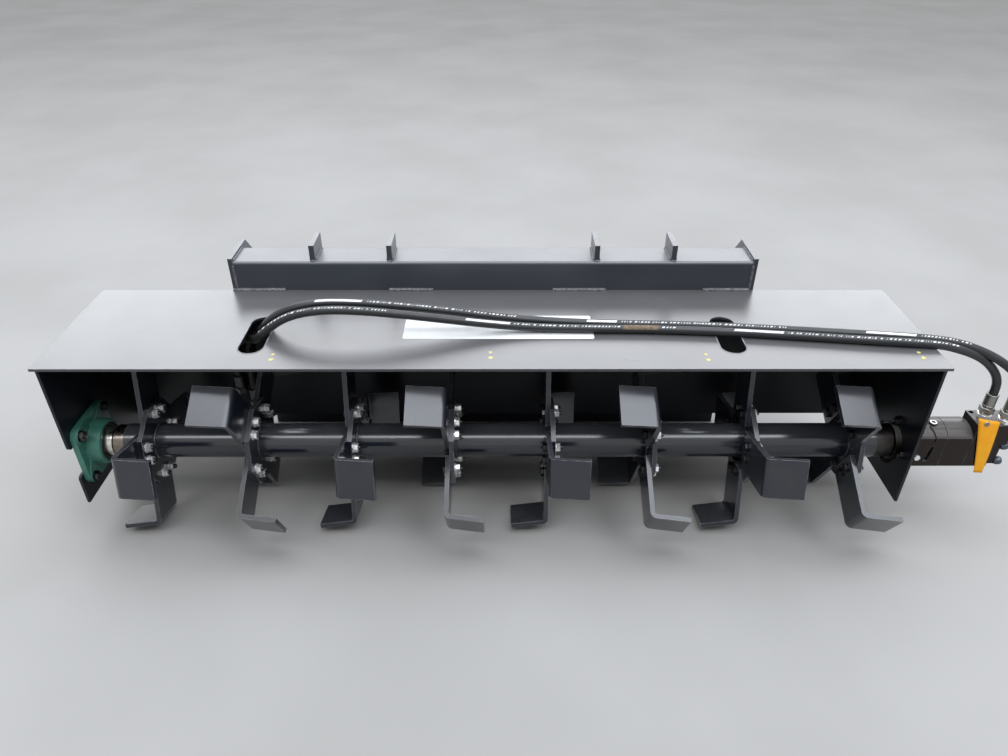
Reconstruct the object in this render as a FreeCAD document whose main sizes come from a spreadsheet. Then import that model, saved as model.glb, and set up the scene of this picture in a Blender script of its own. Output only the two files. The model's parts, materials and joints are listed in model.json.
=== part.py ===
import FreeCAD, Part
import math
import os
import Sketcher

# Rotary tiller attachment, in millimetres.
# X runs along the rotor, +Y points to the machine that carries it, +Z is up.
# The origin is midway between the two lock pin slots, at ground level.

os.makedirs("parts", exist_ok=True)
doc = FreeCAD.newDocument("rotary_tiller")

# Driving dimensions: name, then millimetres or degrees
SIZES = (
    # hood
    ("hood_width", 1829),
    ("hood_depth", 340),
    ("hood_thick", 6),
    ("hood_above_axis", 247),
    ("hose_slot_x", 498),
    ("hose_slot_width", 54),
    ("hose_slot_length", 154),
    ("hose_slot_front", 57),
    # side plates and back panel
    ("side_overhang", 9.5),
    ("side_setback", 3),
    ("side_thick", 6),
    ("side_bottom", 95),
    ("shaft_slot_width", 72),
    ("shaft_slot_round", 10),
    ("back_thick", 6),
    ("back_bottom", 97),
    # beam at the hood's far edge
    ("beam_width", 1218),
    ("beam_depth", 86),
    ("beam_tall", 101),
    ("beam_rise", 71),
    ("beam_wall", 6),
    ("beam_corner", 7),
    ("end_thick", 10),
    ("end_rise", 79),
    ("end_top_depth", 112),
    ("end_reach", 158),
    ("end_lip_drop", 46),
    ("end_back_drop", 28),
    ("end_foot_drop", 76),
    ("tab_thick", 12),
    ("tab_tall", 38),
    ("tab_inner_x", 238),
    ("tab_outer_x", 415),
    ("tab_front", 6),
    ("rib_thick", 10),
    # plate that the carrying machine picks up
    ("plate_thick", 8),
    ("plate_top", 505),
    ("lip_length", 70),
    ("lip_thick", 10),
    ("lip_angle", 43),
    ("lock_thick", 10),
    ("lock_reach", 27),
    ("lock_setback", 35),
    ("lock_slot_inset", 99),
    ("lock_slot_width", 26),
    ("lock_slot_length", 70),
    # rotor
    ("axis_front", 87),
    ("tube_diameter", 76),
    ("tube_wall", 8),
    ("tube_gap_left", 86),
    ("tube_gap_right", 53),
    ("disc_across", 178),
    ("disc_thick", 10),
    ("disc_inset_left", 64),
    ("disc_inset_right", 56),
    ("disc_end_pitch", 227),
    ("tine_reach", 189.5),
    ("tine_width", 87),
    ("tine_thick", 10),
    ("tine_blade", 84),
    ("tine_flare", 7),
    ("tine_bend", 5),
    ("tine_inner", 52),
    ("tine_phase", 14),
    ("tine_stagger", 45),
    # left bearing
    ("stub_diameter", 50),
    ("stub_past_side", 7),
    ("collar_diameter", 72),
    ("collar_length", 23),
    ("bearing_side", 143),
    ("bearing_corner", 22),
    ("bearing_base", 12),
    ("bearing_arm_width", 36),
    ("bearing_arm_reach", 79),
    ("bearing_arm_rise", 3),
    ("bearing_boss", 100),
    ("bearing_boss_tall", 42),
    ("bearing_boss_draft", 2),
    ("bearing_boss_round", 5),
    ("seal_diameter", 86),
    ("seal_depth", 6),
    ("bearing_bolts", 111),
    ("bearing_bolt_hole", 18),
    ("ring_diameter", 68),
    ("ring_end", 59),
    ("running_gap", 0.05),
    # right drive
    ("hub_diameter", 75),
    ("hub_gap", 15),
    ("pilot_diameter", 84),
    ("pilot_thick", 13),
    ("pilot_gap", 0.1),
    ("spigot_diameter", 32),
    ("spigot_length", 50),
    ("motor_flange_side", 106),
    ("motor_flange_thick", 16),
    ("motor_half_width", 40),
    ("motor_round", 52.5),
    ("motor_below", 43),
    ("motor_shoulder", 34),
    ("motor_length", 129),
    ("motor_seam", 73),
    ("motor_seam_width", 1.2),
    ("motor_seam_depth", 1.2),
    ("motor_recess_x", 37),
    ("motor_recess_width", 8),
    ("motor_recess_lean", 6),
    ("motor_recess_low", 29),
    ("motor_recess_high", 11),
    ("motor_recess_depth", 5),
    ("motor_plug_x", 50),
    ("motor_plug_front", 8),
    ("motor_plug_diameter", 17),
    ("motor_plug_top", 55),
    ("block_length", 78),
    ("block_back", 18),
    ("block_bottom", 17),
    ("block_top", 69),
    ("block_hole_x", 9),
    ("block_hole_back", 11),
    ("block_hole_diameter", 10),
    ("block_hole_depth", 16),
    ("cartridge_diameter", 22),
    ("cartridge_length", 18),
    ("cartridge_front", 27),
    ("cartridge_rise", 28),
    ("end_housing_length", 53),
    ("cap_thick", 18),
    ("cap_inset", 4),
    # hydraulic fittings and hoses
    ("port_a_inset", 26),
    ("port_a_front", 7),
    ("port_b_inset", 62),
    ("port_b_front", 25),
    ("port_hex", 28),
    ("port_hex_tall", 12),
    ("neck_diameter", 18),
    ("neck_tall", 2),
    ("nut_hex", 24),
    ("nut_tall", 16),
    ("ferrule_diameter", 22),
    ("ferrule_tall", 33),
    ("hose_diameter", 18),
    ("hose_end_ferrule", 33),
    ("hose_end_nut", 16),
    # hanging tag: its corners from the port block's near end and above the rotor's axis
    ("tag_thick", 0.8),
    ("tag_gap", 0.3),
    ("tag_top_left_x", -15),
    ("tag_top_left_rise", 90),
    ("tag_top_right_x", 38),
    ("tag_top_right_rise", 82),
    ("tag_low_left_x", 33),
    ("tag_low_right_x", 60),
    ("tag_low_drop", 60),
)


class Size:
    """A number together with the expression that gives it in the document."""

    def __init__(self, number, text):
        self.number = float(number)
        self.text = text

    def __float__(self):
        return self.number

    def __add__(self, other):
        other = as_size(other)
        return Size(self.number + other.number, "(" + self.text + " + " + other.text + ")")

    def __sub__(self, other):
        other = as_size(other)
        return Size(self.number - other.number, "(" + self.text + " - " + other.text + ")")

    def __mul__(self, other):
        other = as_size(other)
        return Size(self.number * other.number, "(" + self.text + " * " + other.text + ")")

    def __truediv__(self, other):
        other = as_size(other)
        return Size(self.number / other.number, "(" + self.text + " / " + other.text + ")")

    def __neg__(self):
        return as_size(0) - self

    def __radd__(self, other):
        return as_size(other) + self

    def __rsub__(self, other):
        return as_size(other) - self

    def __rmul__(self, other):
        return as_size(other) * self


def as_size(value):
    """Give a plain number the form of a Size."""
    if isinstance(value, Size):
        return value
    return Size(value, repr(float(value)))


def sine(angle):
    angle = as_size(angle)
    return Size(math.sin(math.radians(angle.number)), "sin(" + angle.text + ")")


def cosine(angle):
    angle = as_size(angle)
    return Size(math.cos(math.radians(angle.number)), "cos(" + angle.text + ")")


class Sizes:
    """The driving dimensions, each under its own name."""


sheet = doc.addObject("Spreadsheet::Sheet", "sizes")
size = Sizes()
for row, (name, number) in enumerate(SIZES, start=1):
    sheet.set("A" + str(row), name)
    sheet.set("B" + str(row), str(number))
    sheet.setAlias("B" + str(row), name)
    setattr(size, name, Size(number, "sizes." + name))
doc.recompute()

parts = []


def bind(item, path, value):
    """Tie one property of an object to the sheet."""
    item.setExpression(path, as_size(value).text)


def place(item, x, y, z):
    """Tie an object's place to the sheet."""
    bind(item, "Placement.Base.x", x)
    bind(item, "Placement.Base.y", y)
    bind(item, "Placement.Base.z", z)


def keep(item, label):
    """Name a finished sub-part."""
    item.Label = label
    parts.append(item)
    return item


# Sketches

def new_body(label):
    body = doc.addObject("PartDesign::Body", label)
    body.AllowCompound = True
    return keep(body, label)


def origin_feature(body, role):
    for feature in body.Origin.OriginFeatures:
        if feature.Role == role:
            return feature
    raise ValueError("no origin feature " + role)


def new_sketch(body, role, name, offset=0):
    """A sketch on one of the body's own origin planes, moved along its normal."""
    sketch = body.newObject("Sketcher::SketchObject", body.Name + "_" + name)
    sketch.AttachmentSupport = (origin_feature(body, role), [""])
    sketch.MapMode = "FlatFace"
    bind(sketch, "AttachmentOffset.Base.z", offset)
    return sketch


def limit(sketch, kind, *values):
    """Add a constraint whose last value is a Size."""
    number = sketch.addConstraint(Sketcher.Constraint(kind, *values[:-1], float(values[-1])))
    bind(sketch, "Constraints[" + str(number) + "]", values[-1])


def pin_point(sketch, edge, end, x, y):
    """Fix a point of an edge at its distances from the sketch's origin."""
    limit(sketch, "DistanceX", -1, 1, edge, end, x)
    limit(sketch, "DistanceY", -1, 1, edge, end, y)


def arc_between(start, finish, radius):
    """The short arc from start to finish, to the left for a positive radius."""
    chord = finish - start
    across = FreeCAD.Vector(-chord.y, chord.x, 0).normalize()
    rise = math.sqrt(radius * radius - chord.Length * chord.Length / 4)
    side = 1 if radius > 0 else -1
    centre = (start + finish) / 2 + across * (rise * side)
    circle = Part.Circle(centre, FreeCAD.Vector(0, 0, 1), abs(radius))
    first, last = (start, finish) if radius > 0 else (finish, start)
    first_angle = math.atan2(first.y - centre.y, first.x - centre.x)
    last_angle = math.atan2(last.y - centre.y, last.x - centre.x)
    return Part.ArcOfCircle(circle, first_angle, last_angle)


def outline(sketch, corners):
    """A closed outline. A corner is x, y and, where an arc leaves it, the arc's radius,
    which is negative for an arc that turns right."""
    edges = []
    for index, corner in enumerate(corners):
        following = corners[(index + 1) % len(corners)]
        start = FreeCAD.Vector(float(corner[0]), float(corner[1]), 0)
        finish = FreeCAD.Vector(float(following[0]), float(following[1]), 0)
        if len(corner) == 3:
            radius = float(corner[2])
            edge = sketch.addGeometry(arc_between(start, finish, radius), False)
            edges.append((edge, 1, 2) if radius > 0 else (edge, 2, 1))
        else:
            edge = sketch.addGeometry(Part.LineSegment(start, finish), False)
            edges.append((edge, 1, 2))
    for index, (edge, head, tail) in enumerate(edges):
        next_edge, next_head, next_tail = edges[(index + 1) % len(edges)]
        sketch.addConstraint(Sketcher.Constraint("Coincident", edge, tail, next_edge, next_head))
    for (edge, head, tail), corner in zip(edges, corners):
        pin_point(sketch, edge, head, corner[0], corner[1])
    for (edge, head, tail), corner in zip(edges, corners):
        if len(corner) == 3:
            radius = as_size(corner[2])
            limit(sketch, "Radius", edge, radius if float(radius) > 0 else -radius)


def rectangle(sketch, left, low, right, high):
    outline(sketch, [(left, low), (right, low), (right, high), (left, high)])


def circle(sketch, x, y, radius):
    centre = FreeCAD.Vector(float(x), float(y), 0)
    edge = sketch.addGeometry(Part.Circle(centre, FreeCAD.Vector(0, 0, 1), float(radius)), False)
    pin_point(sketch, edge, 3, x, y)
    limit(sketch, "Radius", edge, radius)


def stadium(sketch, x, y, length, width, upright):
    """A slot with round ends, its middle at x, y."""
    radius = width / 2
    reach = (length - width) / 2
    step_x = as_size(0) if upright else reach
    step_y = reach if upright else as_size(0)
    turn = math.pi / 2 if upright else 0
    up = FreeCAD.Vector(0, 0, 1)
    arcs = []
    lines = []
    for side in (1, -1):
        middle = FreeCAD.Vector(float(x + step_x * side), float(y + step_y * side), 0)
        start = turn - math.pi / 2 if side > 0 else turn + math.pi / 2
        arc = Part.ArcOfCircle(Part.Circle(middle, up, float(radius)), start, start + math.pi)
        arcs.append(sketch.addGeometry(arc, False))
    for side in (0, 1):
        start = sketch.getPoint(arcs[side], 2)
        finish = sketch.getPoint(arcs[1 - side], 1)
        lines.append(sketch.addGeometry(Part.LineSegment(start, finish), False))
    for side in (0, 1):
        sketch.addConstraint(Sketcher.Constraint("Tangent", arcs[side], 2, lines[side], 1))
        sketch.addConstraint(Sketcher.Constraint("Tangent", lines[side], 2, arcs[1 - side], 1))
    pin_point(sketch, arcs[0], 3, x + step_x, y + step_y)
    pin_point(sketch, arcs[1], 3, x - step_x, y - step_y)
    limit(sketch, "Radius", arcs[0], radius)


def pad(sketch, length, name, both_ways=False, backwards=False):
    body = sketch.getParentGeoFeatureGroup()
    feature = body.newObject("PartDesign::Pad", body.Name + "_" + name)
    feature.Profile = sketch
    bind(feature, "Length", length)
    feature.SideType = "Symmetric" if both_ways else "One side"
    feature.Reversed = backwards
    body.Tip = feature
    return feature


def pocket(sketch, depth, name):
    """Cut into the body from the sketch, against the way that a pad would go."""
    body = sketch.getParentGeoFeatureGroup()
    feature = body.newObject("PartDesign::Pocket", body.Name + "_" + name)
    feature.Profile = sketch
    bind(feature, "Length", depth)
    body.Tip = feature
    return feature


def revolve(sketch, name):
    """Turn a profile fully about the sketch's horizontal axis."""
    body = sketch.getParentGeoFeatureGroup()
    feature = body.newObject("PartDesign::Revolution", body.Name + "_" + name)
    feature.Profile = sketch
    feature.ReferenceAxis = (sketch, ["H_Axis"])
    feature.Angle = 360
    body.Tip = feature
    return feature


# Places that several pieces share

hood_half = size.hood_width / 2
side_out = hood_half - size.side_overhang
side_in = side_out - size.side_thick
plate_back = -size.lock_setback
plate_front = plate_back - size.plate_thick
beam_front = plate_front - size.beam_depth
hood_front = beam_front - size.hood_depth
back_front = beam_front - size.back_thick
axis_y = hood_front + size.axis_front

# The lowest tine corner, on the tines that lean least from straight down, stands on the ground
tip_reach = size.tine_reach + size.tine_blade * sine(size.tine_flare)
axis_z = tip_reach * cosine(size.tine_phase) + size.tine_width / 2 * sine(size.tine_phase)
hood_top = axis_z + size.hood_above_axis
hood_under = hood_top - size.hood_thick
beam_top = hood_top + size.beam_rise
beam_bottom = beam_top - size.beam_tall
inner_half = size.beam_width / 2 - size.end_thick
lock_slot_x = inner_half - size.lock_slot_inset

# Stations along the rotor and the motor, outwards from the side plates
tube_left = side_in - size.tube_gap_left
tube_right = side_in - size.tube_gap_right
hub_end = side_in - size.hub_gap
stub_end = side_out + size.stub_past_side
motor_start = side_out + size.motor_flange_thick
block_start = motor_start + size.motor_length


# Hood, side plates and back panel

def make_hood():
    body = new_body("hood_top")
    sketch = new_sketch(body, "XY_Plane", "outline")
    rectangle(sketch, -hood_half, 0, hood_half, size.hood_depth)
    for side in (-1, 1):
        stadium(sketch, size.hose_slot_x * side, size.hose_slot_front + size.hose_slot_length / 2,
                size.hose_slot_length, size.hose_slot_width, True)
    pad(sketch, size.hood_thick, "sheet")
    place(body, 0, hood_front, hood_under)


def make_side_plates():
    front = size.side_setback
    rear = size.hood_depth - size.back_thick
    slot_low = axis_z - size.shaft_slot_width / 2
    slot_high = axis_z + size.shaft_slot_width / 2
    slot_end = size.axis_front + size.shaft_slot_width / 2
    round_off = size.shaft_slot_round
    left = new_body("side_plate_left")
    sketch = new_sketch(left, "YZ_Plane", "outline")
    outline(sketch, [(front, size.side_bottom), (rear, size.side_bottom), (rear, hood_under),
                     (front, hood_under), (front, slot_high + round_off, round_off),
                     (front + round_off, slot_high), (slot_end, slot_high), (slot_end, slot_low),
                     (front + round_off, slot_low, round_off), (front, slot_low - round_off)])
    pad(sketch, size.side_thick, "sheet")
    place(left, -side_out, hood_front, 0)
    right = new_body("side_plate_right")
    sketch = new_sketch(right, "YZ_Plane", "outline")
    rectangle(sketch, front, size.side_bottom, rear, hood_under)
    circle(sketch, size.axis_front, axis_z, size.pilot_diameter / 2 + size.pilot_gap)
    pad(sketch, size.side_thick, "sheet")
    place(right, side_in, hood_front, 0)


def make_back_panel():
    body = new_body("back_panel")
    sketch = new_sketch(body, "XZ_Plane", "outline")
    rectangle(sketch, -side_out, size.back_bottom, side_out, hood_under)
    pad(sketch, size.back_thick, "sheet", backwards=True)
    place(body, 0, back_front, 0)


# Beam, its end plates and tabs, and the plate that the carrying machine picks up

def make_beam():
    body = new_body("attach_beam")
    sketch = new_sketch(body, "YZ_Plane", "section")
    corner = size.beam_corner
    outline(sketch, [(beam_front + corner, beam_bottom), (plate_front - corner, beam_bottom, corner),
                     (plate_front, beam_bottom + corner), (plate_front, beam_top - corner, corner),
                     (plate_front - corner, beam_top), (beam_front + corner, beam_top, corner),
                     (beam_front, beam_top - corner), (beam_front, beam_bottom + corner, corner)])
    rectangle(sketch, beam_front + size.beam_wall, beam_bottom + size.beam_wall,
              plate_front - size.beam_wall, beam_top - size.beam_wall)
    pad(sketch, inner_half * 2, "tube", both_ways=True)


def make_end_plates():
    top = hood_top + size.end_rise
    roof_end = beam_front + size.end_top_depth
    far = beam_front + size.end_reach
    lip_end = top - size.end_lip_drop
    for name, start in (("left", -size.beam_width / 2), ("right", inner_half)):
        body = new_body("attach_end_" + name)
        sketch = new_sketch(body, "YZ_Plane", "outline")
        outline(sketch, [(beam_front, beam_bottom), (plate_front, beam_bottom - size.end_foot_drop),
                         (plate_back, beam_bottom - size.end_foot_drop),
                         (far, lip_end - size.end_back_drop), (far, lip_end),
                         (roof_end, top), (beam_front, top)])
        pad(sketch, size.end_thick, "sheet")
        place(body, start, 0, 0)


def make_tabs_and_ribs():
    tabs = new_body("attach_tabs")
    sketch = new_sketch(tabs, "XY_Plane", "outline")
    ribs = new_body("attach_ribs")
    rib_sketch = new_sketch(ribs, "XY_Plane", "outline")
    for middle in (-size.tab_outer_x, -size.tab_inner_x, size.tab_inner_x, size.tab_outer_x):
        rectangle(sketch, middle - size.tab_thick / 2, beam_front + size.tab_front,
                  middle + size.tab_thick / 2, plate_front)
        rectangle(rib_sketch, middle - size.rib_thick / 2, beam_front,
                  middle + size.rib_thick / 2, plate_front)
    pad(sketch, size.tab_tall, "plates")
    place(tabs, 0, 0, beam_top)
    pad(rib_sketch, beam_bottom - size.back_bottom, "plates")
    place(ribs, 0, 0, size.back_bottom)


def make_attach_plate():
    body = new_body("attach_plate")
    sketch = new_sketch(body, "XZ_Plane", "outline")
    rectangle(sketch, -inner_half, 0, inner_half, size.plate_top)
    pad(sketch, size.plate_thick, "sheet")
    place(body, 0, plate_back, 0)


def make_hook_lip():
    body = new_body("hook_lip")
    sketch = new_sketch(body, "YZ_Plane", "section")
    run = size.lip_length * cosine(size.lip_angle)
    fall = size.lip_length * sine(size.lip_angle)
    step = size.lip_thick / cosine(size.lip_angle)
    outline(sketch, [(plate_back, size.plate_top - step), (plate_back + run, size.plate_top - fall - step),
                     (plate_back + run, size.plate_top - fall), (plate_back, size.plate_top)])
    pad(sketch, inner_half * 2, "sheet", both_ways=True)


def make_lock_flange():
    body = new_body("lock_flange")
    sketch = new_sketch(body, "XY_Plane", "outline")
    rectangle(sketch, -inner_half, plate_back, inner_half, size.lock_reach)
    for side in (-1, 1):
        stadium(sketch, lock_slot_x * side, as_size(0), size.lock_slot_length, size.lock_slot_width, False)
    pad(sketch, size.lock_thick, "sheet")


# Left bearing: a cast square flange with a round boss, and the bearing's inner ring

def bolt_circles(sketch):
    """The bearing's four bolt holes."""
    for step_y in (-1, 1):
        for step_z in (-1, 1):
            circle(sketch, size.bearing_bolts / 2 * step_y, size.bearing_bolts / 2 * step_z,
                   size.bearing_bolt_hole / 2)


def bearing_arms(sketch):
    """Four raised arms that run from the boss to the bolts, with rounded ends.
    Their sides meet under the boss, midway between its bore and its outside."""
    half = size.bearing_arm_width / 2
    reach = size.bearing_arm_reach
    root = (size.ring_diameter + size.bearing_boss) / 4
    corners = []
    for index in range(4):
        turn = math.pi / 4 + math.pi / 2 * index
        along_x = math.cos(turn)
        along_y = math.sin(turn)
        corners.append((reach * along_x + half * along_y, reach * along_y - half * along_x, half * 1.1))
        corners.append((reach * along_x - half * along_y, reach * along_y + half * along_x))
        corners.append((root * math.cos(turn + math.pi / 4), root * math.sin(turn + math.pi / 4)))
    outline(sketch, corners)
    circle(sketch, as_size(0), as_size(0), size.ring_diameter / 2)
    bolt_circles(sketch)


def make_bearing():
    half = size.bearing_side / 2
    inside = half - size.bearing_corner
    body = new_body("bearing_housing")
    sketch = new_sketch(body, "YZ_Plane", "base")
    outline(sketch, [(-inside, -half), (inside, -half, size.bearing_corner), (half, -inside),
                     (half, inside, size.bearing_corner), (inside, half), (-inside, half, size.bearing_corner),
                     (-half, inside), (-half, -inside, size.bearing_corner)])
    circle(sketch, as_size(0), as_size(0), size.ring_diameter / 2)
    bolt_circles(sketch)
    pad(sketch, size.bearing_base, "base_plate")
    sketch = new_sketch(body, "YZ_Plane", "arms", size.bearing_base)
    bearing_arms(sketch)
    pad(sketch, size.bearing_arm_rise, "arm_plate")
    profile = new_sketch(body, "XZ_Plane", "boss")
    base = size.bearing_base
    bore = size.ring_diameter / 2
    tall = size.bearing_boss_tall
    seal = size.seal_diameter / 2
    outer = size.bearing_boss / 2
    rim = size.bearing_boss_round
    outline(profile, [(base, bore), (tall - size.seal_depth, bore), (tall - size.seal_depth, seal),
                      (tall, seal), (tall, outer - rim, rim), (tall - rim, outer),
                      (base, outer + size.bearing_boss_draft)])
    revolve(profile, "boss_turn")
    place(body, -side_in, axis_y, axis_z)
    ring = new_body("bearing_ring")
    profile = new_sketch(ring, "XZ_Plane", "section")
    bore = size.stub_diameter / 2 + size.running_gap
    rectangle(profile, as_size(0), bore, size.ring_end, size.ring_diameter / 2)
    revolve(profile, "ring_turn")
    place(ring, -side_in, axis_y, axis_z)


# Rotor: tube, stub shaft, drive hub, discs and tines

def make_rotor_core():
    tube = new_body("rotor_tube")
    profile = new_sketch(tube, "XZ_Plane", "section")
    outer = size.tube_diameter / 2
    rectangle(profile, -tube_left, outer - size.tube_wall, tube_right, outer)
    revolve(profile, "tube_turn")
    place(tube, 0, axis_y, axis_z)
    stub = new_body("stub_shaft")
    profile = new_sketch(stub, "XZ_Plane", "section")
    plug = outer - size.tube_wall
    shaft = size.stub_diameter / 2
    collar = size.collar_diameter / 2
    collar_start = -tube_left - size.collar_length
    outline(profile, [(-stub_end, 0), (-tube_left, 0), (-tube_left, collar), (collar_start, collar),
                      (collar_start, shaft), (-stub_end, shaft)])
    revolve(profile, "shaft_turn")
    profile = new_sketch(stub, "XZ_Plane", "plug")
    rectangle(profile, -tube_left, as_size(0), -tube_left + size.tube_diameter, plug)
    revolve(profile, "plug_turn")
    place(stub, 0, axis_y, axis_z)
    hub = new_body("drive_hub")
    profile = new_sketch(hub, "XZ_Plane", "section")
    outline(profile, [(tube_right, 0), (hub_end + size.spigot_length, 0),
                      (hub_end + size.spigot_length, size.spigot_diameter / 2),
                      (hub_end, size.spigot_diameter / 2), (hub_end, size.hub_diameter / 2),
                      (tube_right, size.hub_diameter / 2)])
    revolve(profile, "hub_turn")
    place(hub, 0, axis_y, axis_z)


def disc_places():
    """The middle of each of the eight discs along X. The six inner ones are evenly spaced."""
    first = size.disc_inset_left - tube_left
    last = tube_right - size.disc_inset_right
    inner_first = first + size.disc_end_pitch
    inner_last = last - size.disc_end_pitch
    pitch = (inner_last - inner_first) / 5
    return [first] + [inner_first + pitch * step for step in range(6)] + [last]


def turn_about_x(body, angle):
    """Turn a body about the rotor's axis."""
    body.Placement.Rotation = FreeCAD.Rotation(FreeCAD.Vector(1, 0, 0), 0)
    body.setExpression("Placement.Rotation.Axis.x", "1")
    body.setExpression("Placement.Rotation.Axis.y", "0")
    body.setExpression("Placement.Rotation.Axis.z", "0")
    bind(body, "Placement.Rotation.Angle", angle)


def make_disc(number, x, phase):
    """An octagonal plate around the tube, with a flat side under each tine."""
    body = new_body("disc_" + str(number))
    sketch = new_sketch(body, "YZ_Plane", "outline")
    reach = size.disc_across / 2
    corner = reach * math.tan(math.pi / 8)
    outline(sketch, [(reach, -corner), (reach, corner), (corner, reach), (-corner, reach),
                     (-reach, corner), (-reach, -corner), (-corner, -reach), (corner, -reach)])
    circle(sketch, as_size(0), as_size(0), size.tube_diameter / 2)
    pad(sketch, size.disc_thick, "plate", both_ways=True)
    turn_about_x(body, phase)
    place(body, x, axis_y, axis_z)


def tine_outline(sketch, side):
    """The bent bar seen edge on: the arm lies on the disc's left face, and the blade
    leaves it through a round bend, leaning outwards by the flare. Across the bar,
    the outline is measured from the arm's outer face towards the blade."""
    outer_face = -size.disc_thick / 2 - (size.tine_thick if side > 0 else 0)
    outside = size.tine_bend + size.tine_thick
    lean_x = cosine(size.tine_flare)
    lean_r = sine(size.tine_flare)
    bend_r = size.tine_reach - outside * (1 - lean_r) / lean_x
    tip_x = size.tine_blade * lean_x
    tip_r = size.tine_reach + size.tine_blade * lean_r
    turn = 1 if side > 0 else -1
    corners = [
        (as_size(0), size.tine_inner),
        (size.tine_thick, size.tine_inner),
        (size.tine_thick, bend_r, -size.tine_bend * turn),
        (outside - size.tine_bend * lean_r, bend_r + size.tine_bend * lean_x),
        (tip_x + size.tine_thick * lean_r, tip_r - size.tine_thick * lean_x),
        (tip_x, tip_r),
        (outside - outside * lean_r, bend_r + outside * lean_x, outside * turn),
        (as_size(0), bend_r),
    ]
    outline(sketch, [(outer_face + corner[0] * side,) + tuple(corner[1:]) for corner in corners])


def make_tines(number, x, phase):
    """Four tines on one disc. Two opposite ones are bent right, the other two left."""
    body = new_body("tines_" + str(number))
    sketch = new_sketch(body, "XZ_Plane", "bent_right")
    tine_outline(sketch, 1)
    right = pad(sketch, size.tine_width, "right_tine", both_ways=True)
    sketch = new_sketch(body, "XY_Plane", "bent_left")
    tine_outline(sketch, -1)
    left = pad(sketch, size.tine_width, "left_tine", both_ways=True)
    pattern = body.newObject("PartDesign::PolarPattern", body.Name + "_opposite")
    pattern.Originals = [right, left]
    pattern.Axis = (origin_feature(body, "X_Axis"), [""])
    pattern.Angle = 360
    pattern.Occurrences = 2
    body.Tip = pattern
    turn_about_x(body, phase)
    place(body, x, axis_y, axis_z)


# Right drive: pilot ring, motor flange, motor, port block and end cap

def make_motor():
    pilot = new_body("motor_pilot")
    profile = new_sketch(pilot, "XZ_Plane", "section")
    bore = size.spigot_diameter / 2 + size.running_gap
    rectangle(profile, -size.pilot_thick, bore, size.side_thick, size.pilot_diameter / 2)
    revolve(profile, "ring_turn")
    place(pilot, side_in, axis_y, axis_z)
    flange = new_body("motor_flange")
    sketch = new_sketch(flange, "YZ_Plane", "outline")
    half = size.motor_flange_side / 2
    rectangle(sketch, -half, -half, half, half)
    circle(sketch, as_size(0), as_size(0), bore)
    pad(sketch, size.motor_flange_thick, "plate")
    place(flange, side_out, axis_y, axis_z)
    body = new_body("motor_body")
    wide = size.motor_half_width
    seam_end = size.motor_seam + size.motor_seam_width
    sections = (
        ("gear_end", as_size(0), size.motor_seam, as_size(0)),
        ("seam", size.motor_seam, size.motor_seam_width, size.motor_seam_depth),
        ("port_end", seam_end, size.motor_length - seam_end, as_size(0)),
    )
    for name, start, length, inset in sections:
        sketch = new_sketch(body, "YZ_Plane", name + "_section", start)
        side = wide - inset
        low = inset - size.motor_below
        shoulder = size.motor_shoulder - inset
        outline(sketch, [(-side, low), (side, low), (side, shoulder, size.motor_round - inset),
                         (-side, shoulder)])
        circle(sketch, as_size(0), as_size(0), bore)
        pad(sketch, length, name)
    sketch = new_sketch(body, "XY_Plane", "plug_outline", size.motor_shoulder)
    circle(sketch, size.motor_plug_x, -size.motor_plug_front, size.motor_plug_diameter / 2)
    pad(sketch, size.motor_plug_top - size.motor_shoulder, "plug")
    sketch = new_sketch(body, "XZ_Plane", "recess_outline", wide)
    low_x = size.motor_recess_x
    high_x = low_x + size.motor_recess_lean
    across = size.motor_recess_width
    outline(sketch, [(low_x, -size.motor_recess_low), (low_x + across, -size.motor_recess_low),
                     (high_x + across, size.motor_recess_high), (high_x, size.motor_recess_high)])
    pocket(sketch, size.motor_recess_depth, "recess")
    place(body, motor_start, axis_y, axis_z)
    make_motor_end(wide)


def make_motor_end(wide):
    """The motor's end housing with the port block on its top, and the end cover under the block."""
    block = new_body("motor_valve_block")
    sketch = new_sketch(block, "YZ_Plane", "housing_section")
    rectangle(sketch, -wide, -size.motor_below, wide, size.motor_shoulder)
    pad(sketch, size.end_housing_length, "housing")
    sketch = new_sketch(block, "YZ_Plane", "block_section")
    rectangle(sketch, -wide, size.block_bottom, size.block_back, size.block_top)
    pad(sketch, size.block_length, "block")
    sketch = new_sketch(block, "YZ_Plane", "cartridge_outline", size.block_length)
    circle(sketch, -size.cartridge_front, size.cartridge_rise, size.cartridge_diameter / 2)
    pad(sketch, size.cartridge_length, "cartridge")
    sketch = new_sketch(block, "XY_Plane", "hole_outline", size.block_top)
    circle(sketch, size.block_hole_x, size.block_hole_back, size.block_hole_diameter / 2)
    pocket(sketch, size.block_hole_depth, "hole")
    place(block, block_start, axis_y, axis_z)
    cap = new_body("motor_end_cap")
    sketch = new_sketch(cap, "YZ_Plane", "outline")
    inset = size.cap_inset
    rectangle(sketch, inset - wide, inset - size.motor_below, wide - inset, size.block_bottom)
    pad(sketch, size.cap_thick, "plate")
    place(cap, block_start + size.end_housing_length, axis_y, axis_z)


# Hydraulic fittings

def hexagon_and_tube(label, x, y, low, hex_across, hex_tall, tube_diameter, tube_tall):
    """A hexagon with a round sleeve above it."""
    nut = doc.addObject("Part::Prism", label + "_nut")
    nut.Polygon = 6
    bind(nut, "Circumradius", hex_across / math.sqrt(3))
    bind(nut, "Height", hex_tall)
    sleeve = doc.addObject("Part::Cylinder", label + "_sleeve")
    bind(sleeve, "Radius", tube_diameter / 2)
    bind(sleeve, "Height", tube_tall)
    bind(sleeve, "Placement.Base.z", hex_tall)
    both = doc.addObject("Part::Fuse", label)
    both.Base = nut
    both.Tool = sleeve
    place(both, x, y, low)
    return keep(both, label)


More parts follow.
